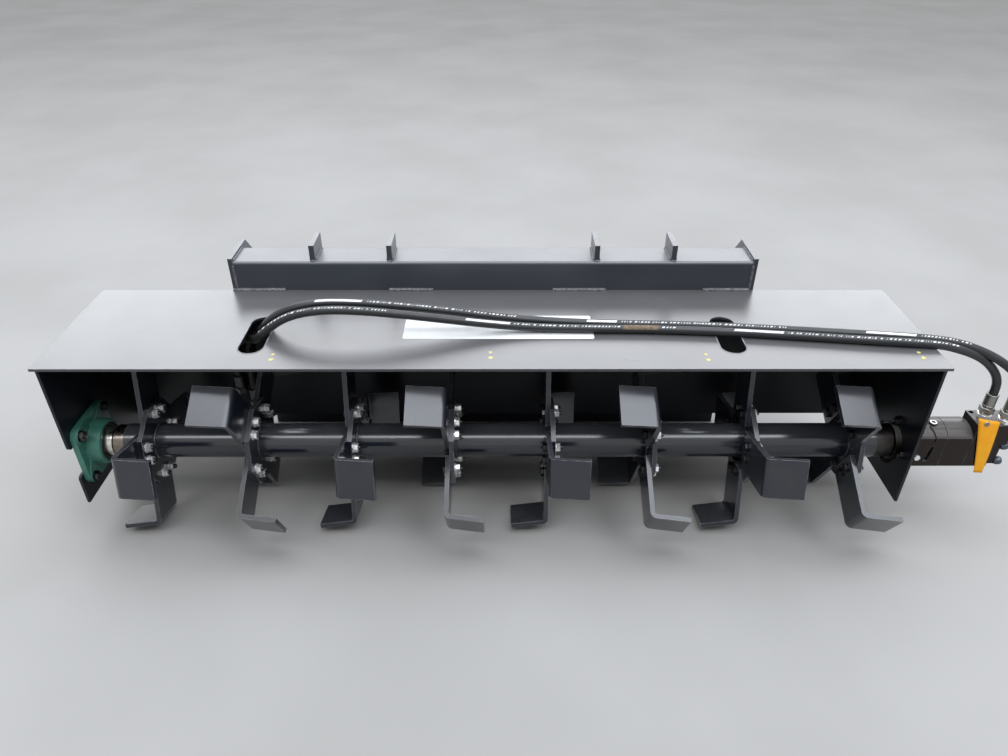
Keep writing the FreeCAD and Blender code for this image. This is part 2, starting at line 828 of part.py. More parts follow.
def make_fittings():
    seat = axis_z + size.block_top
    nut_seat = seat + size.port_hex_tall + size.neck_tall
    for name, inset, front in (("a", size.port_a_inset, size.port_a_front),
                               ("b", size.port_b_inset, size.port_b_front)):
        hexagon_and_tube("port_fitting_" + name, block_start + inset, axis_y - front, seat, size.port_hex,
                         size.port_hex_tall, size.neck_diameter, size.neck_tall)
        hexagon_and_tube("hose_fitting_" + name, block_start + inset, axis_y - front, nut_seat, size.nut_hex,
                         size.nut_tall, size.ferrule_diameter, size.ferrule_tall)


# Hoses: points measured from the middle of the hood's front edge, at its top face

HOSE_A = (
    (1076, 80, -115),
    (1076, 80, -94),
    (1070, 79, -65),
    (1053, 77, -34),
    (1026, 75, -11),
    (991, 74, 2),
    (940, 76, 11),
    (850, 85, 14),
    (700, 103, 12),
    (470, 130, 12),
    (240, 139, 11),
    (60, 122, 27),
    (-100, 102, 59),
    (-230, 91, 82),
    (-340, 93, 86),
    (-425, 105, 64),
    (-478, 124, 22),
    (-516, 170, -19),
    (-556, 230, -56),
    (-596, 280, -98),
    (-622, 308, -142),
    (-633, 316, -186),
    (-633, 316, -222),
)
HOSE_B = (
    (1112, 62, -115),
    (1112, 62, -90),
    (1106.5, 64.5, -61),
    (1090, 70, -29.5),
    (1064, 78, -6.5),
    (1028, 87, 7),
    (976, 96, 13),
    (886, 105, 14),
    (736, 122, 12),
    (506, 149, 12),
    (276, 160, 12),
    (110, 152, 25),
    (-40, 139, 50),
    (-170, 127, 74),
    (-290, 121, 87),
    (-370, 123, 86),
    (-436, 132, 62),
    (-482, 154, 22),
    (-506, 188, -18),
    (-538, 250, -52),
    (-572, 296, -90),
    (-594, 314, -136),
    (-602, 316, -200),
    (-602, 316, -262),
)


def route_wire(points):
    """Straight runs joined by tangent arcs. An arc uses up to 0.45 of its shorter run."""
    edges = []
    radii = []
    start = points[0]
    for before, corner, after in zip(points, points[1:], points[2:]):
        run_in = corner - before
        run_out = after - corner
        turn = run_in.getAngle(run_out)
        reach = 0.45 * min(run_in.Length, run_out.Length)
        radius = reach / math.tan(turn / 2)
        arc_start = corner - FreeCAD.Vector(run_in).normalize() * reach
        arc_end = corner + FreeCAD.Vector(run_out).normalize() * reach
        inward = (arc_start + arc_end) / 2 - corner
        bulge = radius / math.cos(turn / 2) - radius
        middle = corner + inward.normalize() * bulge
        edges.append(Part.LineSegment(start, arc_start).toShape())
        edges.append(Part.Arc(arc_start, middle, arc_end).toShape())
        radii.append(radius)
        start = arc_end
    edges.append(Part.LineSegment(start, points[-1]).toShape())
    return Part.Wire(edges), radii


def make_hose(label, table):
    """A tube of the hose's outer diameter along its route."""
    middle_front = FreeCAD.Vector(0, float(hood_front), float(hood_top))
    points = [middle_front + FreeCAD.Vector(*point) for point in table]
    wire, radii = route_wire(points)
    radius = float(size.hose_diameter) / 2
    heading = points[1] - points[0]
    ring = Part.Wire([Part.Edge(Part.Circle(points[0], heading, radius))])
    tube = wire.makePipeShell([ring], True, False)
    expected = math.pi * radius * radius * wire.Length
    print(label, "length", round(wire.Length), "volume ratio", round(tube.Volume / expected, 4))
    print(label, "radii", [round(value) for value in radii])
    hose = doc.addObject("Part::Feature", label)
    hose.Shape = tube
    keep(hose, label)
    return points[-1]


def make_hose_end(label, top):
    """Ferrule and swivel nut on the hose's free end, pointing down."""
    body = new_body(label)
    profile = new_sketch(body, "XY_Plane", "ferrule")
    circle(profile, as_size(0), as_size(0), size.ferrule_diameter / 2)
    pad(profile, size.hose_end_ferrule, "sleeve", backwards=True)
    profile = new_sketch(body, "XY_Plane", "nut", -size.hose_end_ferrule)
    reach = size.nut_hex / math.sqrt(3)
    corners = []
    for index in range(6):
        angle = math.radians(60 * index)
        corners.append((reach * math.cos(angle), reach * math.sin(angle)))
    outline(profile, corners)
    pad(profile, size.hose_end_nut, "swivel_nut", backwards=True)
    place(body, top[0], hood_front + top[1], hood_top + top[2])


def make_tag():
    """A blank wedge-shaped tag that hangs in front of the motor."""
    body = new_body("hang_tag")
    sketch = new_sketch(body, "XZ_Plane", "outline")
    outline(sketch, [(size.tag_low_left_x, -size.tag_low_drop), (size.tag_low_right_x, -size.tag_low_drop),
                     (size.tag_top_right_x, size.tag_top_right_rise),
                     (size.tag_top_left_x, size.tag_top_left_rise)])
    pad(sketch, size.tag_thick, "sheet")
    place(body, block_start, axis_y - size.motor_half_width - size.tag_gap, axis_z)


make_hood()
make_side_plates()
make_back_panel()
make_beam()
make_end_plates()
make_tabs_and_ribs()
make_attach_plate()
make_hook_lip()
make_lock_flange()
make_bearing()
make_rotor_core()
for count, place_x in enumerate(disc_places(), start=1):
    odd = count % 2 == 1
    phase = 90 - size.tine_phase if odd else 90 - size.tine_phase + size.tine_stagger
    make_disc(count, place_x, phase)
    make_tines(count, place_x, phase)
make_motor()
make_fittings()
make_hose("hose_a", HOSE_A)
make_hose("hose_b", HOSE_B)
make_hose_end("hose_end_a", HOSE_A[-1])
make_hose_end("hose_end_b", HOSE_B[-1])
make_tag()

doc.recompute()
for item in doc.Objects:
    if "Invalid" in item.State or "Error" in item.State:
        raise RuntimeError(item.Name + " failed: " + str(item.State))
for item in parts:
    if item.Shape.isNull() or not item.Shape.isValid():
        raise RuntimeError(item.Label + " has no valid shape")
for item in parts:
    item.Shape.exportStep(os.path.join("parts", item.Label + ".step"))
print(len(parts), "sub-parts")
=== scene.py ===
import json
import math
import random
import bmesh
import bpy
from mathutils import Matrix, Vector


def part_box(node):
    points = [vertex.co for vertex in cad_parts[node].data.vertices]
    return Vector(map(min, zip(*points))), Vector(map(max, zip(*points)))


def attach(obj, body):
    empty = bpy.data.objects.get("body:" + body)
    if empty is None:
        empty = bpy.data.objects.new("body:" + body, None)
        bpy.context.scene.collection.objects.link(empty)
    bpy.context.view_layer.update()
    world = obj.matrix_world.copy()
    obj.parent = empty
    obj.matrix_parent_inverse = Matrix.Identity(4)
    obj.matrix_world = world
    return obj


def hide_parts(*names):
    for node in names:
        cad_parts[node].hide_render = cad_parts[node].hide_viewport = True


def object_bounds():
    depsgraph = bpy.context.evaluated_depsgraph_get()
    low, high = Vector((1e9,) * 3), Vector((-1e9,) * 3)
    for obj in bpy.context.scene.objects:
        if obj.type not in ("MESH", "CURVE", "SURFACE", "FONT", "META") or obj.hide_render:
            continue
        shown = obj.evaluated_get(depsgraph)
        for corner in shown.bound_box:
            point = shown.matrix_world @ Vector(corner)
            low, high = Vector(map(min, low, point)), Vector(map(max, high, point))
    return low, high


# The looks of a rotary tiller attachment, in metres.
# X runs along the rotor, +Y points to the machine that carries it, +Z is up.

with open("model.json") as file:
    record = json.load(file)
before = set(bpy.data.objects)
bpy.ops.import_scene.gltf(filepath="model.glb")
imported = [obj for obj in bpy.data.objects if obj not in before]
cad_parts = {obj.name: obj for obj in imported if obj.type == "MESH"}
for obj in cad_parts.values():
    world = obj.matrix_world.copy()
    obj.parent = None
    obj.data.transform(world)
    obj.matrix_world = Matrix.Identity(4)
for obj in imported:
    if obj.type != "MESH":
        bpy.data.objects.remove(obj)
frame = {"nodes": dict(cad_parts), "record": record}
cad_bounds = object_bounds()
random.seed(7)

MM = 0.001
hood_low, hood_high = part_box("hood_top")
tube_low, tube_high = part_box("rotor_tube")
disc_low, disc_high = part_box("disc_1")
AXIS_Y = (tube_low.y + tube_high.y) / 2
AXIS_Z = (tube_low.z + tube_high.z) / 2
TUBE_RADIUS = (tube_high.z - tube_low.z) / 2
DISC_HALF = (disc_high.x - disc_low.x) / 2
DISCS = range(1, 9)
BOTH_SIDES = (-1, 1)


def at(x, y, z):
    """A place in millimetres from the middle of the hood's front edge, at its top face."""
    return Vector((x * MM, hood_low.y + y * MM, hood_high.z + z * MM))


def round_axis(x, radius, angle):
    """A place beside the rotor's axis. The angle is in degrees, from the front upwards."""
    turn = math.radians(angle)
    return Vector((x, AXIS_Y - radius * math.cos(turn), AXIS_Z + radius * math.sin(turn)))


# Camera, at the photograph's angle

CAMERA_PLACE = (0.018, -1.721, 1.266)
CAMERA_PITCH = 33.73
CAMERA_YAW = 0.25
CAMERA_ROLL = 0.11
CAMERA_LENS = 27.04
CAMERA_SENSOR = 36


def make_camera():
    data = bpy.data.cameras.new("camera")
    data.lens = CAMERA_LENS
    data.sensor_width = CAMERA_SENSOR
    camera = bpy.data.objects.new("camera", data)
    bpy.context.scene.collection.objects.link(camera)
    turn = Matrix.Rotation(math.radians(-CAMERA_YAW), 4, "Z")
    tilt = Matrix.Rotation(math.radians(90 - CAMERA_PITCH), 4, "X")
    roll = Matrix.Rotation(math.radians(CAMERA_ROLL), 4, "Z")
    camera.matrix_world = Matrix.Translation(CAMERA_PLACE) @ turn @ tilt @ roll
    bpy.context.scene.camera = camera


# Materials

# A colour mix node has its two colours on these inputs, and the result on this output
FIRST_COLOUR = 6
SECOND_COLOUR = 7
MIXED_COLOUR = 2


class Surface:
    """A material whose colour, roughness and relief come from texture nodes."""

    def __init__(self, name, roughness=0.5, metallic=0.0, specular=0.5):
        self.material = bpy.data.materials.new(name)
        self.material.use_nodes = True
        self.nodes = self.material.node_tree.nodes
        self.shader = self.nodes["Principled BSDF"]
        self.set("Roughness", roughness)
        self.set("Metallic", metallic)
        self.set("Specular IOR Level", specular)
        self.place = self.nodes.new("ShaderNodeTexCoord").outputs["Object"]
        self.relief = None

    def feed(self, socket, value):
        """Link a socket to another node's output, or give it a fixed number, scale or colour."""
        if isinstance(value, bpy.types.NodeSocket):
            self.material.node_tree.links.new(value, socket)
        elif socket.type == "RGBA":
            socket.default_value = (*value, 1)
        else:
            socket.default_value = value

    def set(self, name, value):
        self.feed(self.shader.inputs[name], value)

    def add(self, kind, inputs, **settings):
        node = self.nodes.new(kind)
        for name, value in settings.items():
            setattr(node, name, value)
        for name, value in inputs.items():
            self.feed(node.inputs[name], value)
        return node

    def normal(self):
        return self.add("ShaderNodeNewGeometry", {}).outputs["Normal"]

    def stretched(self, scale):
        """The place, scaled by its own factor along each axis."""
        return self.add("ShaderNodeMapping", {"Vector": self.place, "Scale": scale}).outputs["Vector"]

    def noise(self, scale, detail=3.0, rough=0.5, vector=None, warp=0.0):
        inputs = {"Vector": vector or self.place, "Scale": scale, "Detail": detail,
                  "Roughness": rough, "Distortion": warp}
        return self.add("ShaderNodeTexNoise", inputs).outputs["Fac"]

    def dots(self, scale):
        """The distance to the nearest of many scattered points."""
        return self.add("ShaderNodeTexVoronoi", {"Vector": self.place, "Scale": scale}).outputs["Distance"]

    def waves(self, direction, scale, warp):
        inputs = {"Vector": self.place, "Scale": scale, "Distortion": warp}
        node = self.add("ShaderNodeTexWave", inputs, wave_type="BANDS", bands_direction=direction)
        return node.outputs["Fac"]

    def span(self, source, low, high, to_low=0.0, to_high=1.0):
        """Stretch a value from one range to another, and hold it there."""
        inputs = {"Value": source, "From Min": low, "From Max": high, "To Min": to_low, "To Max": to_high}
        return self.add("ShaderNodeMapRange", inputs, interpolation_type="SMOOTHSTEP").outputs["Result"]

    def math(self, operation, first, second):
        return self.add("ShaderNodeMath", {0: first, 1: second}, operation=operation).outputs["Value"]

    def times(self, first, second):
        return self.math("MULTIPLY", first, second)

    def mix(self, factor, first, second):
        """From the first colour to the second, as the factor goes from 0 to 1."""
        inputs = {"Factor": factor, FIRST_COLOUR: first, SECOND_COLOUR: second}
        return self.add("ShaderNodeMix", inputs, data_type="RGBA").outputs[MIXED_COLOUR]

    def facing_up(self):
        """From 0 on a wall to 1 on a level top."""
        parts = self.add("ShaderNodeSeparateXYZ", {"Vector": self.normal()})
        return self.span(parts.outputs["Z"], 0.3, 0.95)

    def bevel(self, radius):
        """The surface's direction, as if its edges were rounded."""
        return self.add("ShaderNodeBevel", {"Radius": radius}, samples=4).outputs["Normal"]

    def rounded_edges(self, radius):
        """Let sharp edges catch the light as a small radius does."""
        self.relief = self.bevel(radius)

    def edge_mask(self, radius):
        """1 close to a sharp edge, 0 elsewhere."""
        directions = {0: self.bevel(radius), 1: self.normal()}
        alike = self.add("ShaderNodeVectorMath", directions, operation="DOT_PRODUCT").outputs["Value"]
        return self.span(alike, 0.995, 0.93)

    def bump(self, height, strength, distance):
        inputs = {"Height": height, "Strength": strength, "Distance": distance}
        if self.relief is not None:
            inputs["Normal"] = self.relief
        self.relief = self.add("ShaderNodeBump", inputs).outputs["Normal"]

    def finish(self, colour, roughness=None):
        """Give the shader its colour and relief, and its roughness where that varies."""
        self.set("Base Color", colour)
        if roughness is not None:
            self.set("Roughness", roughness)
        if self.relief is not None:
            self.set("Normal", self.relief)
        return self.material


DUST = (0.22, 0.2, 0.18)
HAZE_AND_SHEEN = (0.23, 0.22, 0.215)
OIL = (0.02, 0.02, 0.02)
SPECKS = (0.4, 0.38, 0.35)
MUD = (0.085, 0.062, 0.046)
WORN_STEEL_AND_GLINT = (0.3, 0.3, 0.31)
OLD_GREASE = (0.2, 0.17, 0.14)

# How paint varies: its lighter clouds, its range of roughness, and how much scratches dull it
CLOUD_LIFT = 1.35
GLOSS_RANGE = 0.06
SCRATCH_DULL = 0.04


def painted_steel(name, colour, gloss, coat, dust, soil=0.0, wear_and_glint=0.35, haze_and_sheen=0.0, specular=0.5,
                  reflection_tint=(1, 1, 1)):
    """Sprayed paint: orange peel, faint scratches, specks and dust on level faces, pale edges that are
    partly rubbed through and partly a painted highlight, and a pale film on level tops that is partly
    dust and partly a painted sheen.

    gloss is its lowest roughness. dust, soil and the amounts of pale edges and pale film say how much
    of each shows, from 0 to 1.
    """
    s = Surface(name, specular=specular)
    s.set("Specular Tint", reflection_tint)
    s.set("Coat Weight", coat)
    s.set("Coat Roughness", gloss)
    s.rounded_edges(1.4 * MM)
    lighter = tuple(channel * CLOUD_LIFT for channel in colour)
    body = s.mix(s.span(s.noise(5, 4, 0.6), 0.35, 0.7), colour, lighter)
    top = s.facing_up()
    patches = s.span(s.noise(9, 7, 0.6, warp=0.4), 0.45, 0.85)
    body = s.mix(s.times(s.times(patches, top), dust), body, DUST)
    # Level tops get a pale film, partly dust and partly a painted sheen
    if haze_and_sheen:
        body = s.mix(s.times(top, haze_and_sheen), body, HAZE_AND_SHEEN)
    smudges = s.times(s.span(s.noise(24, 3, 0.5, warp=1.2), 0.71, 0.78), top)
    body = s.mix(s.times(smudges, 0.6), body, OIL)
    small = s.span(s.dots(230), 0.2, 0.08)
    rare = s.span(s.noise(45, 2), 0.6, 0.75)
    body = s.mix(s.times(s.times(s.times(small, rare), top), 0.3), body, SPECKS)
    if soil:
        mud = s.span(s.noise(22, 7, 0.68, warp=0.5), 0.5, 0.78)
        body = s.mix(s.times(mud, soil), body, MUD)
    # Pale edges, partly paint rubbed through to steel and partly a painted highlight
    wear_and_glint_mask = s.times(s.edge_mask(2.0 * MM), s.span(s.noise(70, 3), 0.3, 0.62))
    body = s.mix(s.times(wear_and_glint_mask, wear_and_glint), body, WORN_STEEL_AND_GLINT)
    scratches = s.span(s.noise(16, 2, 0.5, vector=s.stretched((2.0, 26.0, 26.0))), 0.66, 0.72)
    rough = s.span(s.noise(9, 5, 0.6), 0.3, 0.75, gloss, gloss + GLOSS_RANGE)
    rough = s.math("ADD", rough, s.times(s.math("MAXIMUM", scratches, patches), SCRATCH_DULL))
    s.bump(s.noise(420, 2), 0.1, 0.05 * MM)
    s.bump(s.noise(60, 2), 0.08, 0.12 * MM)
    return s.finish(body, rough)


def cast_paint():
    """Green paint on a rough casting, with grime and chipped edges."""
    s = Surface("cast_green")
    s.rounded_edges(1.5 * MM)
    body = s.mix(s.span(s.noise(30, 4), 0.35, 0.7), (0.036, 0.145, 0.105), (0.052, 0.19, 0.14))
    grime = s.span(s.noise(18, 6, 0.7), 0.5, 0.75)
    body = s.mix(s.times(grime, 0.25), body, (0.06, 0.055, 0.045))
    chips = s.times(s.edge_mask(2 * MM), s.span(s.noise(120, 2), 0.4, 0.6))
    body = s.mix(s.times(chips, 0.5), body, (0.2, 0.3, 0.27))
    s.bump(s.noise(260, 4, 0.7), 0.3, 0.2 * MM)
    return s.finish(body, s.span(s.noise(40, 3), 0.3, 0.7, 0.3, 0.45))


def turned_steel():
    """Machined rings round the rotor's axis, with a brown film."""
    s = Surface("turned_steel", metallic=1.0)
    s.rounded_edges(0.8 * MM)
    film = s.span(s.noise(28, 5, 0.6, warp=0.4), 0.35, 0.75)
    body = s.mix(s.times(film, 0.45), (0.66, 0.64, 0.6), (0.34, 0.28, 0.22))
    s.bump(s.waves("X", 420, 0.6), 0.12, 0.03 * MM)
    return s.finish(body, s.span(film, 0, 1, 0.2, 0.36))


def zinc_plate(name, colour, grime, low=0.28, high=0.4, metallic=1.0):
    """Plated or oiled steel, from bright zinc to black. low and high are its range of roughness."""
    s = Surface(name, metallic=metallic)
    s.rounded_edges(0.7 * MM)
    grease = s.span(s.noise(60, 5, 0.6), 0.45, 0.8)
    body = s.mix(s.times(grease, grime), colour, OLD_GREASE)
    s.bump(s.noise(900, 2), 0.08, 0.03 * MM)
    return s.finish(body, s.span(s.noise(160, 3), 0.3, 0.7, low, high))


def hose_cover():
    """Black rubber with the print of its cloth wrap and a few dusty smears."""
    s = Surface("hose_cover")
    smears = s.span(s.noise(12, 6, 0.7, vector=s.stretched((0.5, 3, 3))), 0.5, 0.8)
    body = s.mix(s.times(smears, 0.3), (0.016, 0.017, 0.019), (0.07, 0.064, 0.058))
    s.bump(s.waves("DIAGONAL", 240, 1.5), 0.12, 0.05 * MM)
    s.bump(s.noise(300, 3), 0.15, 0.06 * MM)
    return s.finish(body, s.span(s.noise(35, 4), 0.3, 0.7, 0.3, 0.46))


def plain_sheet(name, colour, shade, roughness, scale, specular=0.5):
    """Paper, card, film or thick ink: a slightly uneven colour with fine fibres."""
    s = Surface(name, roughness=roughness, specular=specular)
    body = s.mix(s.span(s.noise(scale, 5, 0.6), 0.35, 0.7), colour, shade)
    s.bump(s.noise(700, 3), 0.15, 0.04 * MM)
    return s.finish(body)


def weld_metal():
    """Painted weld beads, whose ripples stay brighter than the plate."""
    s = Surface("weld_metal")
    s.set("Coat Weight", 0.1)
    scale = s.span(s.noise(130, 4, 0.6), 0.35, 0.7)
    body = s.mix(scale, (0.07, 0.073, 0.08), (0.17, 0.172, 0.18))
    s.bump(s.noise(500, 3), 0.3, 0.12 * MM)
    return s.finish(body, s.span(scale, 0, 1, 0.36, 0.5))


def seal_rubber():
    s = Surface("seal_rubber", roughness=0.5)
    body = s.mix(s.span(s.noise(80, 4), 0.35, 0.7), (0.008, 0.008, 0.009), (0.02, 0.019, 0.018))
    s.bump(s.noise(400, 2), 0.15, 0.05 * MM)
    return s.finish(body)


def floor_concrete():
    s = Surface("floor", roughness=0.85, specular=0.1)
    return s.finish(s.mix(s.span(s.noise(1.4, 4), 0.3, 0.7), (0.37, 0.357, 0.34), (0.41, 0.396, 0.38)))


paint = painted_steel("frame_paint", (0.014, 0.0155, 0.02), gloss=0.31, coat=1.0, dust=0.07, haze_and_sheen=0.33)
# A darker copy of the frame paint: painted shade on the side plates, back panel, ribs and mounting plate
side_paint_shaded_copy = painted_steel("side_paint_shaded_copy", (0.006, 0.007, 0.01), gloss=0.32, coat=0.05, dust=0.08,
                           wear_and_glint=0.08, specular=0.3)
# A lighter copy of the frame paint: painted light on the beam, its end plates and its tabs
beam_paint_lit_copy = painted_steel("beam_paint_lit_copy", (0.027, 0.031, 0.041), gloss=0.33, coat=0.6, dust=0.1, haze_and_sheen=0.3)
rotor_paint = painted_steel("rotor_paint", (0.009, 0.011, 0.018), gloss=0.19, coat=0.55, dust=0.15,
                            soil=0.2, wear_and_glint=0.8, haze_and_sheen=0.16)
tube_paint = painted_steel("tube_paint", (0.010, 0.0125, 0.019), gloss=0.15, coat=0.4, dust=0.1,
                           soil=0.1, wear_and_glint=0.4, haze_and_sheen=0.12)
# The motor's strong pale film on top is a painted sheen, and its reflections are tinted brown, a painted
# reflection of brown ground
motor_paint = painted_steel("motor_paint", (0.0055, 0.004, 0.0035), gloss=0.2, coat=0.05, dust=0.12,
                            haze_and_sheen=0.42, specular=0.27, reflection_tint=(1, 0.8, 0.72))
hub_steel = zinc_plate("hub_steel", (0.052, 0.048, 0.046), grime=0.15, low=0.28, high=0.45)
shaft_steel = zinc_plate("shaft_steel", (0.19, 0.165, 0.14), grime=0.5, low=0.18, high=0.34)
steel = turned_steel()
zinc = zinc_plate("zinc", (0.88, 0.88, 0.87), grime=0.12, low=0.2, high=0.32, metallic=0.7)
dull_zinc = zinc_plate("dull_zinc", (0.36, 0.35, 0.33), grime=0.4)
dark_zinc = zinc_plate("dark_zinc", (0.13, 0.13, 0.135), grime=0.3)
ferrule_zinc = zinc_plate("ferrule_zinc", (0.3, 0.295, 0.275), grime=0.15, low=0.3, high=0.42)
cap_steel = zinc_plate("cap_steel", (0.1, 0.115, 0.135), grime=0.2, low=0.3, high=0.42)
black_bolt = zinc_plate("black_bolt", (0.045, 0.046, 0.05), grime=0.3)
green = cast_paint()
rubber = hose_cover()
rubber_seal = seal_rubber()
weld = weld_metal()
card = plain_sheet("tag_card", (1.0, 0.47, 0.03), (1.0, 0.41, 0.02), roughness=0.7, scale=30, specular=0.15)
film = plain_sheet("white_film", (0.8, 0.8, 0.79), (0.74, 0.74, 0.73), roughness=0.6, scale=25)
yellow = plain_sheet("marker_paint", (0.66, 0.54, 0.13), (0.5, 0.44, 0.2), roughness=0.5, scale=160)
ink = plain_sheet("hose_ink", (0.85, 0.85, 0.84), (0.62, 0.61, 0.59), roughness=0.5, scale=120)
scuff = plain_sheet("brown_scuff", (0.2, 0.12, 0.06), (0.05, 0.035, 0.028), roughness=0.55, scale=110)
# The slots' pale rims: a painted highlight
edge_highlight = plain_sheet("painted_slot_highlight", (0.3, 0.3, 0.31), (0.13, 0.13, 0.14), roughness=0.35, scale=60)

SLOT_MATERIALS = {
    "frame_paint": paint,
    "rotor_paint": rotor_paint,
    "motor_paint": motor_paint,
    "bearing_paint": green,
    "bare_steel": steel,
    "zinc": zinc,
    "hose_rubber": rubber,
    "tag_card": card,
}
OWN_MATERIALS = (
    (beam_paint_lit_copy, ("attach_beam", "attach_end_left", "attach_end_right", "attach_tabs")),
    (side_paint_shaded_copy, ("side_plate_left", "side_plate_right", "back_panel", "attach_ribs", "attach_plate")),
    (tube_paint, ("rotor_tube",)),
    (hub_steel, ("drive_hub",)),
    (shaft_steel, ("stub_shaft",)),
)


def dress(name, material):
    """Give a CAD node its material."""
    node = frame["nodes"][name]
    if not node.material_slots:
        node.data.materials.append(material)
    for material_slot in node.material_slots:
        material_slot.material = material


def dress_cad_nodes():
    """Each node takes the material of its slot in the record, and some then get their own."""
    for subpart in frame["record"]["subparts"]:
        dress(subpart["node"], SLOT_MATERIALS[subpart["material_slot"]])
    for material, names in OWN_MATERIALS:
        for name in names:
            dress(name, material)


# Lights, floor and background

SKY = (0.925, 0.955, 1.0)
BLUER_SKY = (0.84, 0.905, 1.0)
FLOOR_HALF = 14
FLOOR_GAP = 0.2 * MM
WORLD_LIGHT = (0.9, 0.95, 1.0, 1)
WORLD_STRENGTH = 0.44
WORLD_SHOWN = (0.86, 0.87, 0.88, 1)

# Each row: the lamp's name, place, aim, width, height, radiance and colour
LAMPS = (
    ("sky_behind", (0, 29, 15.8), (0, -0.2, 0.45), 54, 12.4, 3.2, SKY),
    ("sky_above", (0.3, 0.2, 5.4), (0.1, -0.35, 0.3), 9.0, 4.4, 3.45, BLUER_SKY),
    ("sky_front", (0, -3.4, 5.4), (0, -0.4, 0.25), 9.0, 1.3, 5.3, SKY),
)


def area_light(name, place, aim, width, height, radiance, colour):
    """A soft panel that shines towards aim. Its radiance is what a mirror would show of it."""
    data = bpy.data.lights.new(name, "AREA")
    data.shape = "RECTANGLE"
    data.size = width
    data.size_y = height
    data.energy = radiance * math.pi * width * height
    data.color = colour
    light = bpy.data.objects.new(name, data)
    bpy.context.scene.collection.objects.link(light)
    direction = Vector(aim) - Vector(place)
    light.matrix_world = Matrix.Translation(place) @ direction.to_track_quat("-Z", "Y").to_matrix().to_4x4()
    light.visible_camera = False


def make_floor():
    bm = bmesh.new()
    bmesh.ops.create_grid(bm, x_segments=1, y_segments=1, size=FLOOR_HALF)
    mesh = bpy.data.meshes.new("floor")
    bm.to_mesh(mesh)
    bm.free()
    mesh.materials.append(floor_concrete())
    floor = bpy.data.objects.new("floor", mesh)
    floor.location.z = cad_bounds[0][2] - FLOOR_GAP
    bpy.context.scene.collection.objects.link(floor)


def make_world():
    """Soft daylight, and a plain pale grey where the camera or a mirror sees past the floor."""
    world = bpy.data.worlds.new("world")
    world.use_nodes = True
    bpy.context.scene.world = world
    nodes = world.node_tree.nodes
    links = world.node_tree.links
    lit = nodes["Background"]
    lit.inputs["Color"].default_value = WORLD_LIGHT
    lit.inputs["Strength"].default_value = WORLD_STRENGTH
    shown = nodes.new("ShaderNodeBackground")
    shown.inputs["Color"].default_value = WORLD_SHOWN
    rays = nodes.new("ShaderNodeLightPath")
    seen = rays.outputs["Is Camera Ray"]
    for kind in ("Is Glossy Ray", "Is Transmission Ray"):
        either = nodes.new("ShaderNodeMath")
        either.operation = "MAXIMUM"
        links.new(seen, either.inputs[0])
        links.new(rays.outputs[kind], either.inputs[1])
        seen = either.outputs[0]
    blend = nodes.new("ShaderNodeMixShader")
    links.new(seen, blend.inputs[0])
    links.new(lit.outputs[0], blend.inputs[1])
    links.new(shown.outputs[0], blend.inputs[2])
    links.new(blend.outputs[0], nodes["World Output"].inputs["Surface"])


def make_stage():
    make_floor()
    for lamp in LAMPS:
        area_light(*lamp)
    make_world()
    bpy.context.scene.view_settings.view_transform = "Standard"


# Mesh helpers

CORNER_SLOPE = 0.6         # how tall a nut's corner cut is for its width
WASHER_SHARE = 0.66        # a washer's radius, as a share of the nut across its flats
THREAD_SHARE = 0.31        # a thread's radius, likewise
THREAD_SUNK = 0.5 * MM


def new_piece(name, bm, material, body, smooth=False):
    """Turn a bmesh into a piece that rides on a body."""
    mesh = bpy.data.meshes.new(name)
    bmesh.ops.recalc_face_normals(bm, faces=bm.faces)
    bm.to_mesh(mesh)
    bm.free()
    mesh.materials.append(material)
    if smooth:
        mesh.shade_smooth()
    piece = bpy.data.objects.new(name, mesh)
    bpy.context.scene.collection.objects.link(piece)
    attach(piece, body)
    return piece


def along_x(x, y, z, side=1, turn=0.0):
    """A frame whose local Z points along X, towards the given side."""
    tilt = Matrix.Rotation(math.radians(90) * side, 4, "Y")
    return Matrix.Translation((x, y, z)) @ tilt @ Matrix.Rotation(turn, 4, "Z")


def towards_front(place):
    """A frame whose local Z points to the front."""
    return Matrix.Translation(place) @ Matrix.Rotation(math.radians(90), 4, "X")


def upright(place, turn=0.0):
    """A frame whose local Z points up."""
    return Matrix.Translation(place) @ Matrix.Rotation(turn, 4, "Z")


def any_turn():
    """How far a bolt happens to be turned, in radians."""
    return random.random() * 6


def in_mm(profile):
    return [(radius * MM, height * MM) for radius, height in profile]


def join_rings(bm, low, high):
    """A band of faces between two rings of points, or a fan where one ring is a single point."""
    count = max(len(low), len(high))
    for index in range(count):
        following = (index + 1) % count
        if len(low) == 1:
            bm.faces.new((low[0], high[index], high[following]))
        elif len(high) == 1:
            bm.faces.new((low[index], low[following], high[0]))
        else:
            bm.faces.new((low[index], low[following], high[following], high[index]))


def join_all(bm, rings):
    for low, high in zip(rings, rings[1:]):
        join_rings(bm, low, high)


def lathe(bm, profile, place, segments=20):
    """Turn a profile of (radius, height) pairs about the frame's local Z."""
    rings = []
    for radius, height in profile:
        ring = []
        for index in range(segments if radius else 1):
            angle = 2 * math.pi * index / segments
            point = Vector((radius * math.cos(angle), radius * math.sin(angle), height))
            ring.append(bm.verts.new(place @ point))
        rings.append(ring)
    join_all(bm, rings)


def round_plate(bm, radius, low, high, place, segments=20):
    lathe(bm, [(0, low), (radius, low), (radius, high), (0, high)], place, segments)


def stud(bm, radius, low, high, place):
    """The end of a bolt's thread, with its edge cut off."""
    lathe(bm, [(0, low), (radius, low), (radius, high - MM), (radius - MM, high), (0, high)], place, 14)


